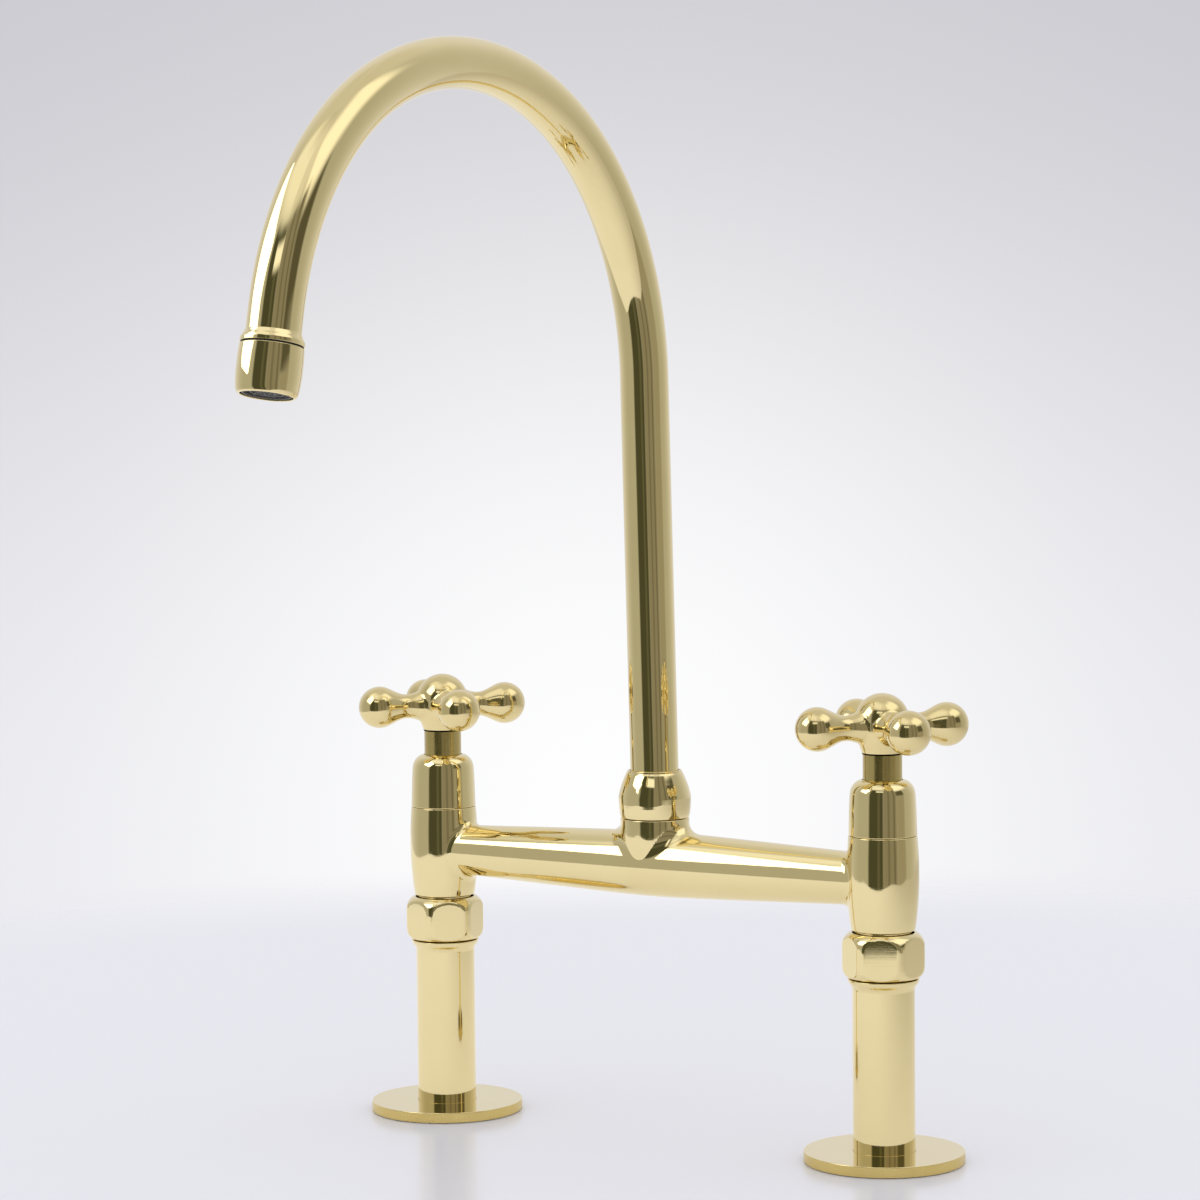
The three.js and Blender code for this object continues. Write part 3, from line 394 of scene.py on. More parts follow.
def skin(field, low, high, cell):
    """The surface where a field is zero, as points and four-sided faces on a grid of cells."""
    ticks = [np.arange(a, b + cell, cell) for a, b in zip(low, high)]
    size = [len(t) for t in ticks]
    grid = np.stack(np.meshgrid(*ticks, indexing="ij"), -1).reshape(-1, 3)
    inside = (field(grid) < 0).reshape(size)
    corners = sum(
        inside[i : size[0] - 1 + i, j : size[1] - 1 + j, k : size[2] - 1 + k].astype(np.int8)
        for i in (0, 1) for j in (0, 1) for k in (0, 1)
    )
    cells = np.argwhere((corners > 0) & (corners < 8))
    number = -np.ones([s - 1 for s in size], int)
    number[tuple(cells.T)] = np.arange(len(cells))
    spots = np.array(low) + (cells + 0.5) * cell
    faces = []
    for k in range(3):
        u, v = np.eye(3, dtype=int)[(k + 1) % 3], np.eye(3, dtype=int)[(k + 2) % 3]
        lower = np.take(inside, range(size[k] - 1), k)
        crossing = np.argwhere(lower != np.take(inside, range(1, size[k]), k))
        keep = np.ones(len(crossing), bool)
        for other in ((k + 1) % 3, (k + 2) % 3):
            keep &= (crossing[:, other] > 0) & (crossing[:, other] < size[other] - 1)
        crossing = crossing[keep]
        ring = [number[tuple((crossing - shift).T)] for shift in (u + v, v, 0 * u, u)]
        quads = np.stack(ring, 1)
        up = lower[tuple(crossing.T)]
        faces.append(np.where(up[:, None], quads, quads[:, ::-1]))
    return onto(field, spots), np.concatenate(faces)


def trimmed(mesh, level, upward, near=None):
    """Cuts a mesh off at a height, on the side given, and returns the rim's points."""
    chosen = [f for f in mesh.faces if near is None or near(f.calc_center_median())]
    geometry = list({v for f in chosen for v in f.verts} | {e for f in chosen for e in f.edges})
    cut = bmesh.ops.bisect_plane(
        mesh, geom=geometry + chosen, dist=1e-5, plane_co=(0, 0, level),
        plane_no=(0, 0, 1 if upward else -1), clear_outer=True,
    )["geom_cut"]
    return [v for v in cut if isinstance(v, bmesh.types.BMVert)]


def zipped(mesh, first, second, centre):
    """Joins two rings of points about an upright axis, which needn't have the same number."""
    rings = []
    for ring in (first, second):
        turns = [math.atan2(v.co.y - centre[1], v.co.x - centre[0]) for v in ring]
        order = sorted(range(len(ring)), key=turns.__getitem__)
        rings.append(([ring[i] for i in order], [turns[i] for i in order]))
    (one, a), (two, b) = rings
    i = j = 0
    while i < len(one) or j < len(two):
        next_a = a[i + 1] if i + 1 < len(one) else a[(i + 1) % len(one)] + 2 * math.pi
        next_b = b[j + 1] if j + 1 < len(two) else b[(j + 1) % len(two)] + 2 * math.pi
        here, there = one[i % len(one)], two[j % len(two)]
        if j >= len(two) or (i < len(one) and next_a < next_b):
            mesh.faces.new([here, there, one[(i + 1) % len(one)]])
            i += 1
        else:
            mesh.faces.new([here, there, two[(j + 1) % len(two)]])
            j += 1


def lathed_rings(mesh, section, centre, given, closed_end=False, facets=96):
    """Adds the rings of an open section about an upright axis; returns the first and last one."""
    points, normals = rounded(section, open_ends=True)
    angles = np.linspace(0, 2 * math.pi, facets, endpoint=False)
    rings = []
    for (radius, height), (across, up) in zip(points, normals):
        ring = []
        for angle in angles:
            c, s = math.cos(angle), math.sin(angle)
            spot = mesh.verts.new((centre[0] + radius * c, centre[1] + radius * s, height))
            given[spot] = (across * c, across * s, up)
            ring.append(spot)
        rings.append(ring)
    for low, high in zip(rings, rings[1:]):
        for i in range(facets):
            j = (i + 1) % facets
            mesh.faces.new([low[i], low[j], high[j], high[i]])
    if closed_end:
        mesh.faces.new(rings[-1])
    return rings[0], rings[-1]


def settled(mesh, field, given):
    """Turns a trimmed skin and its added rings into points, faces and exact normals."""
    bmesh.ops.recalc_face_normals(mesh, faces=mesh.faces)
    if mesh.calc_volume(signed=True) < 0:
        bmesh.ops.reverse_faces(mesh, faces=mesh.faces)
    mesh.verts.index_update()
    spots = np.array([v.co[:] for v in mesh.verts])
    normals = slope_of(field, spots)
    normals /= np.maximum(np.linalg.norm(normals, axis=1, keepdims=True), 1e-9)
    for spot, normal in given.items():
        normals[spot.index] = normal
    faces = [[v.index for v in f.verts] for f in mesh.faces]
    return spots, faces, normals


# ---- Deck flanges, pillars and union nuts ---------------------------------------------------

FLANGE_RADIUS, FLANGE_TOP = 31, 4.1
PILLAR_RADIUS, PILLAR_BORE = 12, 7
NUT_BOTTOM, NUT_TOP = 70.9, 88.6

FLANGE = [
    [12.06, 0, 0.2], [16, 0, 0.1], [16, 1.6, 0.1], [26, 1.6, 0.1], [26, 0, 0.1],
    [FLANGE_RADIUS, 0, 0.25], [FLANGE_RADIUS, FLANGE_TOP, 0.35], [12.06, FLANGE_TOP, 0.12],
]
# The collar that flares out to the nut, then the neck that the nut's lip holds.
PILLAR = [
    [9.3, 0, 0.4], [PILLAR_RADIUS, 0, 0.4], [PILLAR_RADIUS, 66.9, 3], [12.55, 68.1], [13.3, 69],
    [13.7, 69.9], [13.85, 70.75, 0.25], [9.4, 70.75, 0.1], [9.4, 75.5, 0.1], [10.9, 75.5, 0.3],
    [10.9, 78.5, 0.3], [PILLAR_BORE, 78.5, 0.3], [PILLAR_BORE, 15, 0.3], [9.3, 15, 0.2],
]
# The nut as a turned shape, before its hexagon is cut.
NUT_SECTION = [
    [9.7, NUT_BOTTOM, 0.3], [13.1, NUT_BOTTOM, 0.5], [14.5, NUT_BOTTOM + 0.9],
    [15.4, NUT_BOTTOM + 2.1], [15.9, NUT_BOTTOM + 3.6], [16.2, NUT_BOTTOM + 5.6],
    [16.2, NUT_TOP - 5.6], [15.9, NUT_TOP - 3.9], [15.2, NUT_TOP - 2.3], [14.2, NUT_TOP - 1.0],
    [12.9, NUT_TOP, 0.5], [12, NUT_TOP, 0.2], [12, NUT_BOTTOM + 4.3, 0.2],
    [9.7, NUT_BOTTOM + 4.3, 0.2],
]
NUT_TURNS = {"left": math.radians(10.6), "right": math.radians(53.4)}


def hexagon(turns, radius):
    """Keeps a turned nut inside a hexagon with rounded corners, its edges softened."""
    half_flat, corner, soft, bore = 14.3, 4.0, 0.5, 12.3
    turn = np.abs((turns + math.pi / 6) % (math.pi / 3) - math.pi / 6)
    middle_of_corner = (half_flat - corner) / math.cos(math.pi / 6)
    off = math.pi / 6 - turn
    at_corner = middle_of_corner * np.cos(off) + np.sqrt(
        np.maximum(corner**2 - (middle_of_corner * np.sin(off)) ** 2, 0)
    )
    flat_ends = math.atan2(middle_of_corner / 2, half_flat)
    reach = np.where(turn < flat_ends, half_flat / np.cos(turn), at_corner)
    share = np.clip(0.5 + (reach - radius) / (2 * soft), 0, 1)
    softened = radius * share + reach * (1 - share) - soft * share * (1 - share)
    return np.where(radius > bore, softened, radius)


def rim_faces(data):
    """The flange's side wall: the faces that look neither up nor down."""
    normals = np.zeros(len(data.polygons) * 3)
    data.polygons.foreach_get("normal", normals)
    return np.abs(normals.reshape(-1, 3)[:, 2]) < 0.3


for side, x in SIDES.items():
    at = Matrix.Translation((x, 0, 0))
    piece(
        side + "_flange", turned(FLANGE, 160), "body", TURNED,
        [side + "_deck_flange"], at, (RIM, rim_faces),
    )
    piece(
        side + "_leg", turned(PILLAR, 96, stretch=6), "body", TURNED,
        [side + "_pillar"], at,
    )
    piece(
        side + "_nut", turned(NUT_SECTION, 240, stretch=0.6, shape=hexagon), "body",
        TURNED, [side + "_union_nut"],
        at @ Matrix.Rotation(NUT_TURNS[side], 4, "Z"),
    )

# ---- Bridge casting -------------------------------------------------------------------------

BRIDGE_HEIGHT = 108.35
VALVE_BOTTOM, VALVE_TOP = 89.3, 125.8
TEE_TOP = 126.9
ARM_END, TEE_FOOT = 101, 104
TEE_FILLET, VALVE_FILLET = 6.2, 3.6
BRIDGE_CELL = 0.8

arm_curve = smooth_curve(
    [[-102, 9.9], [-85, 10.35], [-60, 11.25], [-35, 12.15], [-20, 12.65], [-9, 12.93], [0, 13.0],
     [9, 12.93], [20, 12.65], [35, 12.15], [60, 11.25], [85, 10.35], [102, 9.9]]
)
valve_curve = smooth_curve(
    [[86, 11.3], [88, 11.9], [89.4, 12.25], [90.8, 12.5], [92.5, 12.75], [94.5, 12.98],
     [97, 13.22], [100, 13.48], [104, 13.72], [108, 13.86], [112, 13.87], [116, 13.8],
     [120, 13.63], [124, 13.38], [126, 13.24], [131, 12.9]]
)
tee_curve = smooth_curve(
    [[98, 9.6], [102, 10.6], [106, 11.6], [110, 12.45], [114, 13.1], [118, 13.48], [122, 13.65],
     [127, 13.7], [132, 13.7]]
)


def bridge_field(spots):
    x, y = spots[:, 0], spots[:, 1]
    up = spots[:, 2] - BRIDGE_HEIGHT
    arms, towards = around(x, np.column_stack([y, up]), arm_curve)
    arms = np.maximum(arms, np.abs(x) - ARM_END)
    tee, direction = around(spots[:, 2], spots[:, :2], tee_curve)
    tee = np.maximum(tee, TEE_FOOT - spots[:, 2])
    whole = filleted((arms, towards), (tee, direction[:, [1, 2, 0]]), TEE_FILLET)
    for centre in SIDES.values():
        valve, direction = around(spots[:, 2], np.column_stack([x - centre, y]), valve_curve)
        whole = filleted(whole, (valve, direction[:, [1, 2, 0]]), VALVE_FILLET)
    return whole[0]


def bridge_casting():
    spots, faces = skin(
        bridge_field, (-117, -16, VALVE_BOTTOM - 2), (117, 16, TEE_TOP + 2), BRIDGE_CELL
    )
    mesh = bmesh.new()
    made = [mesh.verts.new(s) for s in spots.tolist()]
    for face in faces.tolist():
        mesh.faces.new([made[i] for i in face])
    given = {}
    # The skin is cut off this far from its seams, and turned rings take it the rest of the way.
    edge, foot = 0.9, 1.4
    for x in SIDES.values():
        def near(c, x=x):
            return abs(c.x - x) < 30
        top = trimmed(mesh, VALVE_TOP - edge, True, near)
        bottom = trimmed(mesh, VALVE_BOTTOM + foot, False, near)
        high, low = float(valve_curve(VALVE_TOP)[0]), float(valve_curve(VALVE_BOTTOM)[0])
        # From the seam with the bonnet, down through the chamber, and out under the body.
        first, last = lathed_rings(
            mesh,
            [
                [float(valve_curve(VALVE_TOP - edge + 0.1)[0]), VALVE_TOP - edge + 0.1],
                [high, VALVE_TOP, 0.5], [11.2, VALVE_TOP, 0.2], [11.2, 130.8, 0.2],
                [9.5, 130.8, 0.2], [9.5, 100, 0.2], [5, 100, 0.3], [5, 98, 0.3], [7, 96, 0.3],
                [7, 81.5, 0.3], [11.1, 81.5, 0.4], [11.1, VALVE_BOTTOM, 0.2],
                [low, VALVE_BOTTOM, 0.7],
                [float(valve_curve(VALVE_BOTTOM + foot - 0.1)[0]), VALVE_BOTTOM + foot - 0.1],
            ],
            (x, 0), given,
        )
        zipped(mesh, top, first, (x, 0))
        zipped(mesh, bottom, last, (x, 0))
    top = trimmed(mesh, TEE_TOP - edge, True, lambda c: abs(c.x) < 30)
    wide = float(tee_curve(TEE_TOP)[0])
    first, _ = lathed_rings(
        mesh,
        [
            [float(tee_curve(TEE_TOP - edge + 0.1)[0]), TEE_TOP - edge + 0.1],
            [wide, TEE_TOP, 0.4], [11.5, TEE_TOP, 0.2], [11.5, 133, 0.2], [8.3, 133, 0.2],
            [8.3, BRIDGE_HEIGHT, 0.3], [1, BRIDGE_HEIGHT, 0.3],
        ],
        (0, 0), given, closed_end=True,
    )
    zipped(mesh, top, first, (0, 0))
    return settled(mesh, bridge_field, given)


piece("bridge_casting", bridge_casting(), "body", CAST, ["bridge_body"])

# ---- Bonnets, stem sleeves and cross handles ------------------------------------------------

BONNET_BOTTOM, BONNET_TOP = 125.9, 147.4
SLEEVE_RADIUS = 7.55
HUB_BOTTOM, HUB_DOME, HUB_TOP = 157.1, 10.4, 180.4
ARM_HEIGHT = 167.5
BULB_RADIUS, BULB_PLACE = 8.5, 26.5
ARM_FILLET, HUB_FILLET = 2.0, 2.6
HANDLE_CELL = 0.55
HANDLE_TURN = math.radians(49.2)

bonnet_curve = smooth_curve([[125.9, 13.17], [132, 13.02], [138, 12.82], [141.4, 12.62]])
# A quarter of an oval, 5.4 mm deep and 6 mm high.
shoulder = [
    [7.2 + 5.4 * math.cos(turn), 141.4 + 6 * math.sin(turn)]
    for turn in np.radians(np.arange(8, 81, 9))
]
BONNET = (
    [[11.5, BONNET_BOTTOM, 0.2], [13.17, BONNET_BOTTOM, 0.35]]
    + profile(bonnet_curve, 127.3, 141.1, 1.5)
    + shoulder
    + [[7.85, BONNET_TOP - 0.04, 0.1], [7.85, 141, 0.3], [11.5, 139, 0.3]]
)
STEM_SLEEVE = [
    [6.1, 143.6, 0.2], [SLEEVE_RADIUS, 143.6, 0.2], [SLEEVE_RADIUS, 157.04, 0.1],
    [6.1, 157.04, 0.1],
]

skirt_curve = smooth_curve(
    [[156, 7.5], [157.1, 7.75], [158.6, 8.2], [161, 9.1], [164, 9.9], [167, 10.3], [170, 10.4]]
)
cross_curve = smooth_curve(
    [[0, 7.2], [3, 7.2], [6, 7.05], [9, 6.35], [12, 5.35], [14.5, 4.9], [17, 5.15], [20, 6.3],
     [22.5, 7.5], [24.7, 8.3], [26.5, 8.5]]
)


def cross_arm(spots):
    """One arm along X: it narrows from the hub to a neck, then swells to a ball."""
    neck, direction = around(spots[:, 0], spots[:, 1:], cross_curve)
    away = spots - (BULB_PLACE, 0, 0)
    length = np.linalg.norm(away, axis=1)
    ball = spots[:, 0] > BULB_PLACE
    direction = np.where(ball[:, None], away / np.maximum(length, 1e-9)[:, None], direction)
    return np.where(ball, length - BULB_RADIUS, neck), direction


def handle_field(spots):
    folded = np.abs(spots[:, :2])
    long, short = folded.max(1), folded.min(1)
    up = spots[:, 2] - ARM_HEIGHT
    first, one = cross_arm(np.column_stack([long, short, up]))
    second, two = cross_arm(np.column_stack([short, long, up]))
    arms = filleted((first, one), (second, two[:, [1, 0, 2]]), ARM_FILLET)
    flat = np.column_stack([long, short])
    skirt, direction = around(spots[:, 2], flat, skirt_curve)
    away = np.column_stack([flat, spots[:, 2] - (HUB_TOP - HUB_DOME)])
    length = np.linalg.norm(away, axis=1)
    dome = away[:, 2] > 0
    hub = np.where(dome, length - HUB_DOME, skirt)
    direction = np.where(
        dome[:, None], away / np.maximum(length, 1e-9)[:, None], direction[:, [1, 2, 0]]
    )
    return filleted(arms, (hub, direction), HUB_FILLET)[0]


def cross_handle():
    reach = BULB_PLACE + BULB_RADIUS + 1.2
    spots, faces = skin(
        handle_field, (-reach, -reach, HUB_BOTTOM - 1.1), (reach, reach, HUB_TOP + 1), HANDLE_CELL
    )
    mesh = bmesh.new()
    made = [mesh.verts.new(s) for s in spots.tolist()]
    for face in faces.tolist():
        mesh.faces.new([made[i] for i in face])
    given = {}
    bottom = trimmed(mesh, HUB_BOTTOM + 0.6, False, lambda c: math.hypot(c.x, c.y) < 11)
    first, _ = lathed_rings(
        mesh,
        [
            [float(skirt_curve(HUB_BOTTOM + 0.5)[0]), HUB_BOTTOM + 0.5],
            [float(skirt_curve(HUB_BOTTOM)[0]), HUB_BOTTOM, 0.3], [5.8, HUB_BOTTOM, 0.2],
            [5.8, 152.1, 0.3], [4.4, 152.1, 0.2], [4.4, 166, 0.2], [1, 166, 0.2],
        ],
        (0, 0), given, closed_end=True,
    )
    zipped(mesh, bottom, first, (0, 0))
    return settled(mesh, handle_field, given)


HANDLE = cross_handle()

for side, x in SIDES.items():
    at = Matrix.Translation((x, 0, 0))
    body = side + "_handle"
    piece(
        side + "_cap", turned(BONNET, 96, stretch=2), "body", TURNED,
        [side + "_bonnet"], at,
    )
    piece(
        side + "_sleeve", turned(STEM_SLEEVE, 96, stretch=2), body, SLEEVE,
        [side + "_stem_sleeve"], at,
    )
    piece(
        side + "_cross", HANDLE, body, SOFT_CAST, [side + "_cross_handle"],
        at @ Matrix.Rotation(HANDLE_TURN, 4, "Z"),
    )

# ---- Spout joint ----------------------------------------------------------------------------

TUBE_RADIUS, TUBE_BORE = 9.55, 8.1
TUBE_BOTTOM = 137.7
SPOUT_NUT_TOP = 145.7

nut_curve = smooth_curve(
    [[135.3, 14.4], [137, 14.1], [138.6, 13.65], [140.2, 13.15], [141.7, 12.55], [143.3, 11.9],
     [144.6, 11.3]]
)
SPOUT_NUT = (
    [
        [11.8, 127.2, 0.2], [13.6, 127.2, 0.35], [13.95, 128.4], [14.2, 130.5], [14.35, 133, 30],
        [14.42, 135.2, 0.15],
    ]
    + profile(nut_curve, 135.9, 144.6, 1.0)
    + [
        [10.9, 145.2, 0.25], [10.75, 145.9, 0.3], [9.9, 145.95, 0.2], [9.9, 139.4, 0.2],
        [11.8, 139.4, 0.2],
    ]
)
piece(
    "swivel_nut", turned(SPOUT_NUT, 128, stretch=1.5), "body", TURNED,
    ["spout_nut"],
)

# ---- Spout ----------------------------------------------------------------------------------

SPOUT_LEAN = math.radians(1.9)
# The solid tube's straight part ends at 301.5, but its steps cut the arch's top. This one is a
# little shorter, so that the smooth arch isn't higher than the solid one.
STRAIGHT_TOP = 301.35
# Each part of the arch, from the straight part on: radius in mm and sweep in degrees.
BENDS = [(117, 61.8), (129, 49.4), (112.3, 54.9)]
LEG = 8
COLLAR_LENGTH = 3.7
THREAD = COLLAR_LENGTH + 5.3


def spout_line():
    """Points along the tube's centre line with its lean, a millimetre or so apart."""
    y, z, lean = 0.0, TUBE_BOTTOM, 0.0
    line = [(0.0, y, z, lean)]

    def straight(length, step):
        nonlocal y, z
        for _ in range(step):
            y -= math.sin(lean) * length / step
            z += math.cos(lean) * length / step
            line.append((line[-1][0] + length / step, y, z, lean))

    straight(SPOUT_NUT_TOP - TUBE_BOTTOM, 4)
    lean = SPOUT_LEAN
    straight((STRAIGHT_TOP - SPOUT_NUT_TOP) / math.cos(lean), 60)
    for radius, sweep in BENDS:
        sweep = math.radians(sweep)
        steps = math.ceil(radius * sweep / 1.2)
        centre = (y - radius * math.cos(lean), z - radius * math.sin(lean))
        for _ in range(steps):
            lean += sweep / steps
            y, z = centre[0] + radius * math.cos(lean), centre[1] + radius * math.sin(lean)
            line.append((line[-1][0] + radius * sweep / steps, y, z, lean))
    straight(LEG, 6)
    outlet = (y, z, lean)
    straight(THREAD, 6)
    return np.array(line), outlet


LINE, OUTLET = spout_line()


def along_spout(places):
    """Middle of the tube and its directions sideways, forward and onward, at each place."""
    y, z, lean = (np.interp(places, LINE[:, 0], LINE[:, k]) for k in (1, 2, 3))
    zero, one = np.zeros_like(y), np.ones_like(y)
    return (
        np.column_stack([zero, y, z]),
        np.column_stack([one, zero, zero]),
        np.column_stack([zero, np.cos(lean), np.sin(lean)]),
        np.column_stack([zero, -np.sin(lean), np.cos(lean)]),
    )


TUBE_END = LINE[-1, 0]
TUBE = [
    [TUBE_BORE, 0, 0.2], [TUBE_RADIUS, 0, 0.2], [TUBE_RADIUS, TUBE_END, 0.2],
    [TUBE_BORE, TUBE_END, 0.2],
]
piece(
    "swan_neck", turned(TUBE, 96, stretch=1.6, path=along_spout), "spout",
    DRAWN, ["spout_tube"],
)

# The outlet's pieces are turned about the tube's end, with +Z the way the water leaves.
OUTLET_PLACE = Matrix.Translation((0, OUTLET[0], OUTLET[1])) @ Matrix.Rotation(OUTLET[2], 4, "X")
AERATOR_TOP = COLLAR_LENGTH + 0.6
AERATOR_BOTTOM = AERATOR_TOP + 17.0
INSERT_TOP = 11.1

COLLAR = [
    [9.7, -0.6, 0.1], [9.9, -0.2, 0.2], [10.25, 0.7], [10.8, 1.6], [11.12, 2.4, 0.8],
    [11.1, COLLAR_LENGTH, 0.2], [9.7, COLLAR_LENGTH, 0.1],
]
HOUSING = [
    [9.85, AERATOR_TOP, 0.2], [11.1, AERATOR_TOP, 0.3], [11.28, AERATOR_TOP + 3],
    [11.35, AERATOR_TOP + 7], [11.3, AERATOR_TOP + 11], [10.88, AERATOR_BOTTOM - 2.3],
    [10.63, AERATOR_BOTTOM - 1.1], [10.15, AERATOR_BOTTOM - 0.25], [9.6, AERATOR_BOTTOM, 0.3],
    [9.1, AERATOR_BOTTOM, 0.25], [9.1, INSERT_TOP + 1.5, 0.2], [9.85, INSERT_TOP + 1.5, 0.2],
]
# The flat ring that seals the housing against the collar: only its dark edge shows.
SEALING_RING = [
    [9.65, COLLAR_LENGTH + 0.03, 0.05], [10.7, COLLAR_LENGTH + 0.03, 0.1],
    [10.7, AERATOR_TOP - 0.03, 0.1], [9.65, AERATOR_TOP - 0.03, 0.05],
]
piece(
    "outlet_ring", turned(COLLAR, 128, stretch=0.6), "spout", TURNED,
    ["outlet_collar"], OUTLET_PLACE,
)
piece(
    "aerator_shell", turned(HOUSING, 128, stretch=1.5), "spout", TURNED,
    ["aerator_housing"], OUTLET_PLACE,
)
piece(
    "outlet_seal", turned(SEALING_RING, 96), "spout", RUBBER, place=OUTLET_PLACE,
)


def joined(parts):
    """Several closed shapes as one set of points, faces and normals."""
    spots, faces, normals, count = [], [], [], 0
    for s, f, n in parts:
        spots.append(s)
        faces += [[int(i) + count for i in face] for face in f]
        normals.append(n)
        count += len(s)
    return np.concatenate(spots), faces, np.concatenate(normals)


def aerator_cage():
    """Rings and swept ribs of the plastic cage, open to the water between them."""
    low, high = INSERT_TOP + 1.4, AERATOR_BOTTOM - 0.5
    rim = turned(
        [[7.9, INSERT_TOP, 0.2], [9.5, INSERT_TOP, 0.2], [9.5, INSERT_TOP + 1.2, 0.2],
         [8.8, INSERT_TOP + 1.2, 0.1], [8.8, high, 0.25], [7.9, high, 0.25]], 96,
    )
    parts = [rim]
    for radius in (5.6, 3.0):
        parts.append(
            turned(
                [[radius - 0.35, low, 0.2], [radius + 0.35, low, 0.2],
                 [radius + 0.35, high - 0.4, 0.3], [radius - 0.35, high - 0.4, 0.3]], 72,
            )
        )
    ribs, count, inner, outer = 7, 12, 0.8, 8.2
    for k in range(ribs):
        start = 2 * math.pi * k / ribs
        radii = np.linspace(inner, outer, count)
        turns = start + 0.9 * ((radii - inner) / (outer - inner)) ** 1.3
        centres = np.column_stack([radii * np.cos(turns), radii * np.sin(turns)])
        ahead = np.gradient(centres, axis=0)
        ahead /= np.linalg.norm(ahead, axis=1, keepdims=True)
        beside = np.column_stack([-ahead[:, 1], ahead[:, 0]])
        outline = [(-0.3, low), (0.3, low), (0.3, high - 0.5), (-0.3, high - 0.5)]
        spots = np.concatenate(
            [np.column_stack([centres + w * beside, np.full(count, z)]) for w, z in outline]
        )
        ends = count * np.arange(4)
        faces = [ends, ends[::-1] + count - 1]
        for i in range(count - 1):
            for row in range(4):
                a, b = row * count + i, (row + 1) % 4 * count + i
                faces.append([a, a + 1, b + 1, b])
        no_normals = np.zeros_like(spots)  # leaves them to Blender
        parts.append((spots, faces, no_normals))
    return joined(parts)


piece(
    "aerator_cage", aerator_cage(), "spout", ACETAL, ["aerator_insert"],
    OUTLET_PLACE,
)

# ---- CAD nodes that stay as they are ---------------------------------------------------------

KEPT = {
    RUBBER: ["flange_seal", "seat_seal", "spindle_o_ring", "lower_o_ring", "upper_o_ring",
             "aerator_washer"],
    FIBRE: ["union_washer"],
    MACHINED: ["cartridge_body", "spindle", "spout_spigot"],
    ALUMINA: ["fixed_disc", "moving_disc"],
    STEEL: ["handle_screw", "spindle_clip", "aerator_screen"],
    NYLON: ["thrust_washer", "guide_ring"],
}
for finish, endings in KEPT.items():
    for name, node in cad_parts.items():
        if any(name.endswith(ending) for ending in endings):
            node.data.materials.clear()
            node.data.materials.append(finish)

# ---- Table, studio and camera ---------------------------------------------------------------

# Where the camera stands, in mm from the swivel axis at the deck, and how it is turned.
CAMERA_PLACE = Vector((735.2, -1219.4, 305.1))
FOCAL_LENGTH, SENSOR_WIDTH = 108.21, 36
YAW, PITCH, ROLL = (math.radians(a) for a in (-31.93, 3.68, -0.57))
# Directions seen from the faucet: towards the camera, and to the camera's right.
FRONT = Vector((-math.sin(YAW), -math.cos(YAW), 0))
RIGHT = Vector((math.cos(YAW), -math.sin(YAW), 0))


def mixed(tree, share, a, b):
    return add(
        tree, "ShaderNodeMix", {"Factor": share, "A": a, "B": b}, data_type="RGBA"
    ).outputs["Result"]


def plate(name, spots, finish):
    """A flat sheet of the set, from its outline in mm."""
    data = bpy.data.meshes.new(name)
    data.from_pydata([(Vector(s) + SWIVEL) * MM for s in spots], [], [list(range(len(spots)))])
    data.materials.append(finish)
    made = bpy.data.objects.new(name, data)
    bpy.context.scene.collection.objects.link(made)
    return made


def table_top():
    """
    A white table. For the camera it fades out into the backdrop; the brass shows its front edge,
    and painted shade: its colour darkens towards the right, where it gets less light.
    """
    # Its outline: mm to the camera's right, and mm towards the camera.
    edge = [
        (-700, -1400), (-660, 0), (-600, 320), (-500, 400), (-300, 460), (-100, 530), (100, 610),
        (300, 670), (450, 620), (600, 450), (850, 280), (950, -1400),
    ]
    # Satin white laminate: pale, with only a faint blurred reflection.
    paint = bpy.data.materials.new("satin_white_laminate")
    paint.use_nodes = True
    tree = paint.node_tree
    tree.nodes.clear()
    place = add(tree, "ShaderNodeTexCoord").outputs["Object"]
    spot = add(
        tree, "ShaderNodeVectorMath", {0: place, 1: SWIVEL * MM}, operation="SUBTRACT"
    ).outputs[0]
    away = add(tree, "ShaderNodeVectorMath", {0: spot}, operation="LENGTH").outputs["Value"]
    rightward = add(
        tree, "ShaderNodeVectorMath", {0: spot, 1: RIGHT}, operation="DOT_PRODUCT"
    ).outputs["Value"]

    def fade(value, start, end):
        return add(
            tree, "ShaderNodeMapRange", {"Value": value, 1: start, 2: end, 3: 0.0, 4: 1.0},
            interpolation_type="SMOOTHSTEP",
        ).outputs[0]

    camera = add(tree, "ShaderNodeLightPath").outputs["Is Camera Ray"]
    gone = add(
        tree,
        "ShaderNodeMix",
        {"Factor": camera, "A": fade(away, 0.9, 1.2), "B": fade(away, 0.55, 0.8)},
        data_type="FLOAT",
    ).outputs["Result"]
    top = add(
        tree,
        "ShaderNodeBsdfPrincipled",
        {"Base Color": linear("#ECECF2"), "Roughness": 0.22, "Specular IOR Level": 0.35},
    )
    # Painted shade: the colour that all but the camera see darkens towards the right, as if less
    # light fell there.
    painted_shade_colour = mixed(tree, fade(rightward, -0.15, 0.75), linear("#FCFCFC"), linear("#CBC9C4"))
    plain = add(tree, "ShaderNodeBsdfDiffuse", {"Color": painted_shade_colour})
    shown = add(
        tree, "ShaderNodeMixShader", {0: camera, 1: plain.outputs[0], 2: top.outputs[0]}
    )
    clear = add(tree, "ShaderNodeBsdfTransparent")
    both = add(
        tree, "ShaderNodeMixShader", {0: gone, 1: shown.outputs[0], 2: clear.outputs[0]}
    )
    add(tree, "ShaderNodeOutputMaterial", {"Surface": both.outputs[0]})
    plate("table", [RIGHT * g + FRONT * f + Vector((0, 0, -0.3)) for g, f in edge], paint)


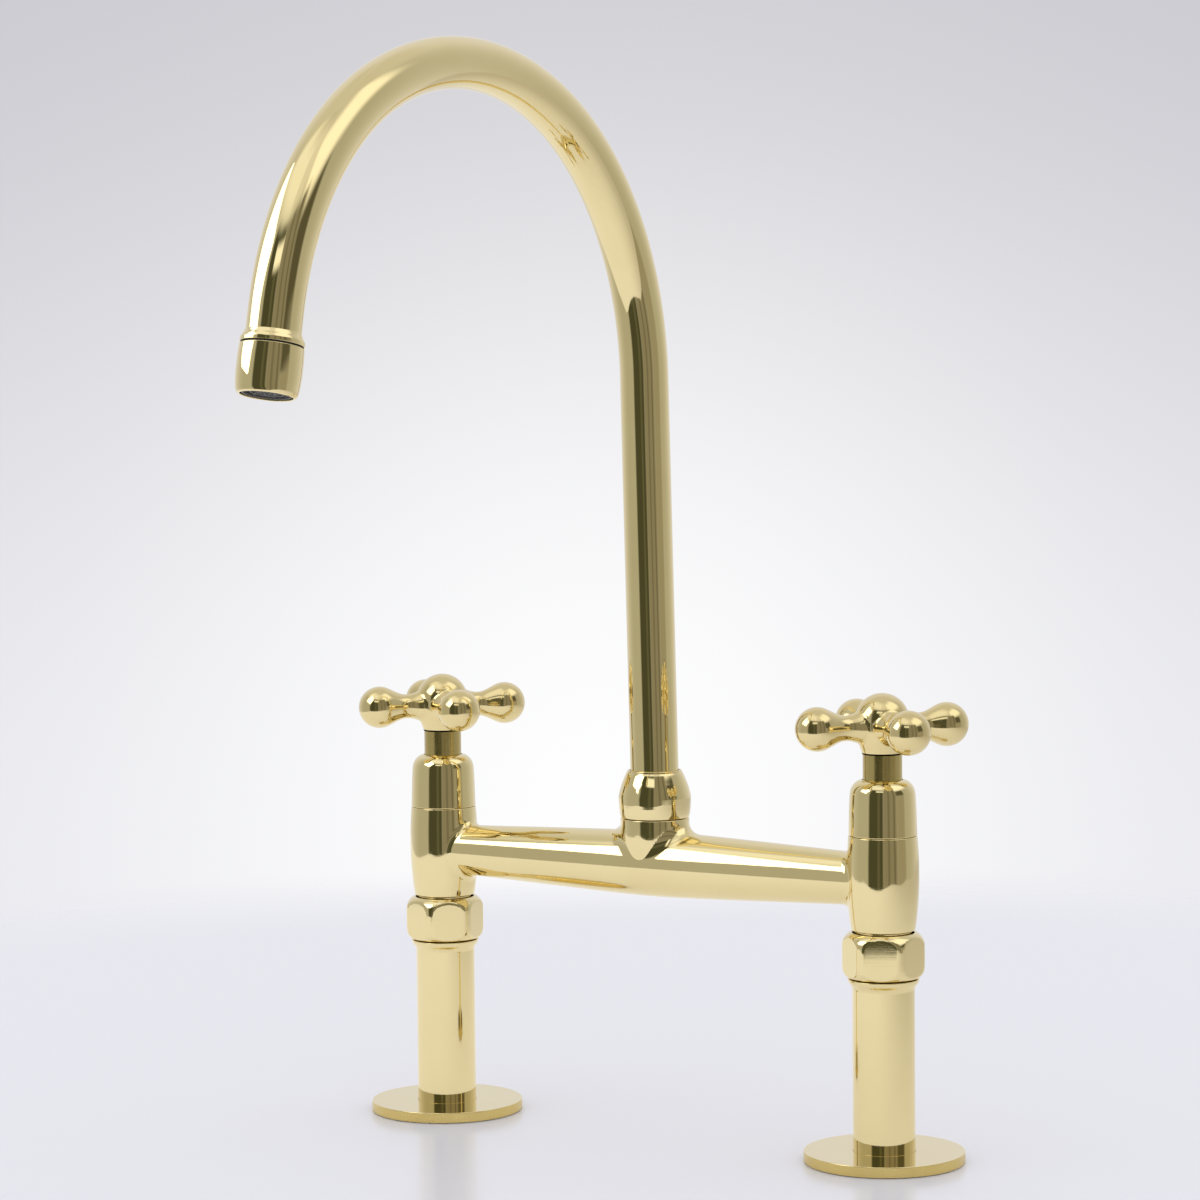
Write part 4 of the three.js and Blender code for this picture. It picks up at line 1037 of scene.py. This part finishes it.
def softbox():
    """The softbox to the left of the camera, a white panel that only the brass shows."""
    centre = Vector((-352, -481, 570))
    facing = Vector((0.808, 0.273, -0.522)).normalized()
    across = Vector((0, 0, 1)).cross(facing).normalized()
    upright = facing.cross(across)
    half_width, half_height, corner, steps = 212, 183, 45, 6
    outline = []
    for quarter in range(4):
        for step in range(steps + 1):
            turn = (quarter + step / steps) * math.pi / 2
            right, up = 1 if quarter in (0, 3) else -1, 1 if quarter in (0, 1) else -1
            u = right * (half_width - corner) + corner * math.cos(turn)
            v = up * (half_height - corner) + corner * math.sin(turn)
            outline.append(centre + across * u + upright * v)
    # Diffuser cloth, lit from behind: an even, neutral white.
    cloth = bpy.data.materials.new("backlit_diffuser_cloth")
    cloth.use_nodes = True
    tree = cloth.node_tree
    tree.nodes.clear()
    glow = add(tree, "ShaderNodeEmission", {"Color": (1, 1, 1, 1), "Strength": 2.6})
    add(tree, "ShaderNodeOutputMaterial", {"Surface": glow.outputs[0]})
    made = plate("softbox", outline, cloth)
    made.visible_camera = made.visible_diffuse = made.visible_transmission = False
    made.visible_shadow = False


softbox()
table_top()


def studio():
    """
    The room as the brass shows it, by direction: azimuth in degrees from the camera's side,
    growing to its right, and elevation. Matt things get plain white light, and the camera sees a
    pale backdrop.
    """
    world = bpy.data.worlds.new("studio")
    bpy.context.scene.world = world
    world.use_nodes = True
    world.cycles.sampling_method = "NONE"
    tree = world.node_tree
    tree.nodes.clear()
    ray = add(tree, "ShaderNodeTexCoord").outputs["Generated"]
    ahead, across = (
        add(
            tree, "ShaderNodeVectorMath", {0: ray, 1: way}, operation="DOT_PRODUCT"
        ).outputs["Value"]
        for way in (FRONT, RIGHT)
    )
    upward = add(tree, "ShaderNodeSeparateXYZ", {0: ray}).outputs[2]
    degree = 180 / math.pi
    azimuth = maths(tree, "MULTIPLY", maths(tree, "ARCTAN2", across, ahead), degree)
    elevation = maths(tree, "MULTIPLY", maths(tree, "ARCSINE", upward), degree)

    def between(value, low, high, soft):
        rise = add(
            tree, "ShaderNodeMapRange", {"Value": value, 1: low - soft, 2: low + soft},
            interpolation_type="SMOOTHSTEP",
        ).outputs[0]
        fall = add(
            tree, "ShaderNodeMapRange",
            {"Value": value, 1: high - soft, 2: high + soft, 3: 1.0, 4: 0.0},
            interpolation_type="SMOOTHSTEP",
        ).outputs[0]
        return maths(tree, "MULTIPLY", rise, fall)

    light = mixed(
        tree, between(azimuth, -122, 122, 38), (0.80, 0.80, 0.84, 1), (0.49, 0.49, 0.45, 1)
    )
    # azimuth from and to, elevation from and to, softness, colour
    patches = [
        (-181, 181, 52, 91, 9.0, (0.70, 0.69, 0.66)),  # ceiling
        (-106, -4, 49, 78, 10.0, (1.06, 1.06, 1.04)),  # light thrown on it, to the left
        (-6, 24, 50, 82, 8.0, (0.87, 0.86, 0.82)),
        (28, 106, 38, 72, 8.0, (1.26, 1.25, 1.21)),  # large diffuser to the right
        (-52, -3, -91, 46, 4.0, (0.075, 0.078, 0.045)),  # unlit end of the room
        (-3, 44, -91, 46, 4.0, (0.28, 0.265, 0.215)),
        (-22, -14, -91, 46, 3.0, (0.13, 0.13, 0.085)),
        (12, 19, -91, 46, 2.5, (0.20, 0.19, 0.145)),
        (32, 37, -91, 46, 2.0, (0.17, 0.16, 0.115)),
        (44, 75, -91, 8, 5.0, (0.36, 0.34, 0.28)),
        (44, 75, 8, 34, 4.5, (0.11, 0.105, 0.07)),
        (-31, -2, 33, 41, 2.4, (1.2, 1.2, 1.16)),  # a far window
    ]
    for low, high, under, over, soft, tone in patches:
        across_it = between(azimuth, low, high, soft)
        share = maths(tree, "MULTIPLY", across_it, between(elevation, under, over, soft))
        light = mixed(tree, share, light, (*tone, 1))
    path = add(tree, "ShaderNodeLightPath")
    light = mixed(tree, path.outputs["Is Diffuse Ray"], light, (0.97, 0.97, 1.0, 1))
    # The backdrop: lavender grey, paler low down, with a painted glow (a pool of light painted into
    # its colour) palest behind the faucet's foot.
    sweep = add(
        tree, "ShaderNodeMapRange", {"Value": elevation, 1: -8.0, 2: 7.0, 3: 0.0, 4: 1.0},
        interpolation_type="SMOOTHSTEP",
    ).outputs[0]
    wall = mixed(tree, sweep, linear("#E6E6EC"), linear("#CBCAD0"))
    wide, tall, below = 8.0, 9.0, 7.0  # the pale spot's reach and place, in degrees
    off_centre = maths(tree, "SUBTRACT", 180.0, maths(tree, "ABSOLUTE", azimuth))
    glow_across = maths(tree, "POWER", maths(tree, "DIVIDE", off_centre, wide), 2.0)
    above = maths(tree, "ADD", elevation, below)
    glow_up = maths(tree, "POWER", maths(tree, "DIVIDE", above, tall), 2.0)
    glow = maths(
        tree, "EXPONENT", maths(tree, "MULTIPLY", maths(tree, "ADD", glow_across, glow_up), -1.0)
    )
    # Painted light: the glow is a pool of light painted into the backdrop's colour, not a lamp.
    wall = mixed(tree, maths(tree, "MULTIPLY", glow, 0.95), wall, (1.0, 1.0, 1.0, 1))
    seen = mixed(tree, path.outputs["Is Camera Ray"], light, wall)
    back = add(tree, "ShaderNodeBackground", {"Color": seen, "Strength": 1.0})
    add(tree, "ShaderNodeOutputWorld", {"Surface": back.outputs[0]})


studio()


def camera():
    """The photograph's own viewpoint, worked out from the faucet's outlines in it."""
    sight = Vector((math.sin(YAW) * math.cos(PITCH), math.cos(YAW) * math.cos(PITCH),
                    -math.sin(PITCH)))
    upright = RIGHT.cross(sight)
    side = RIGHT * math.cos(ROLL) + upright * math.sin(ROLL)
    upright = upright * math.cos(ROLL) - RIGHT * math.sin(ROLL)
    lens = bpy.data.cameras.new("camera")
    lens.lens, lens.sensor_width = FOCAL_LENGTH, SENSOR_WIDTH
    lens.clip_end = 20
    made = bpy.data.objects.new("camera", lens)
    bpy.context.scene.collection.objects.link(made)
    place = Matrix((side, upright, -sight)).transposed().to_4x4()
    place.translation = (CAMERA_PLACE + SWIVEL) * MM
    made.matrix_world = place
    bpy.context.scene.camera = made


camera()
bpy.context.scene.view_settings.view_transform = "Standard"
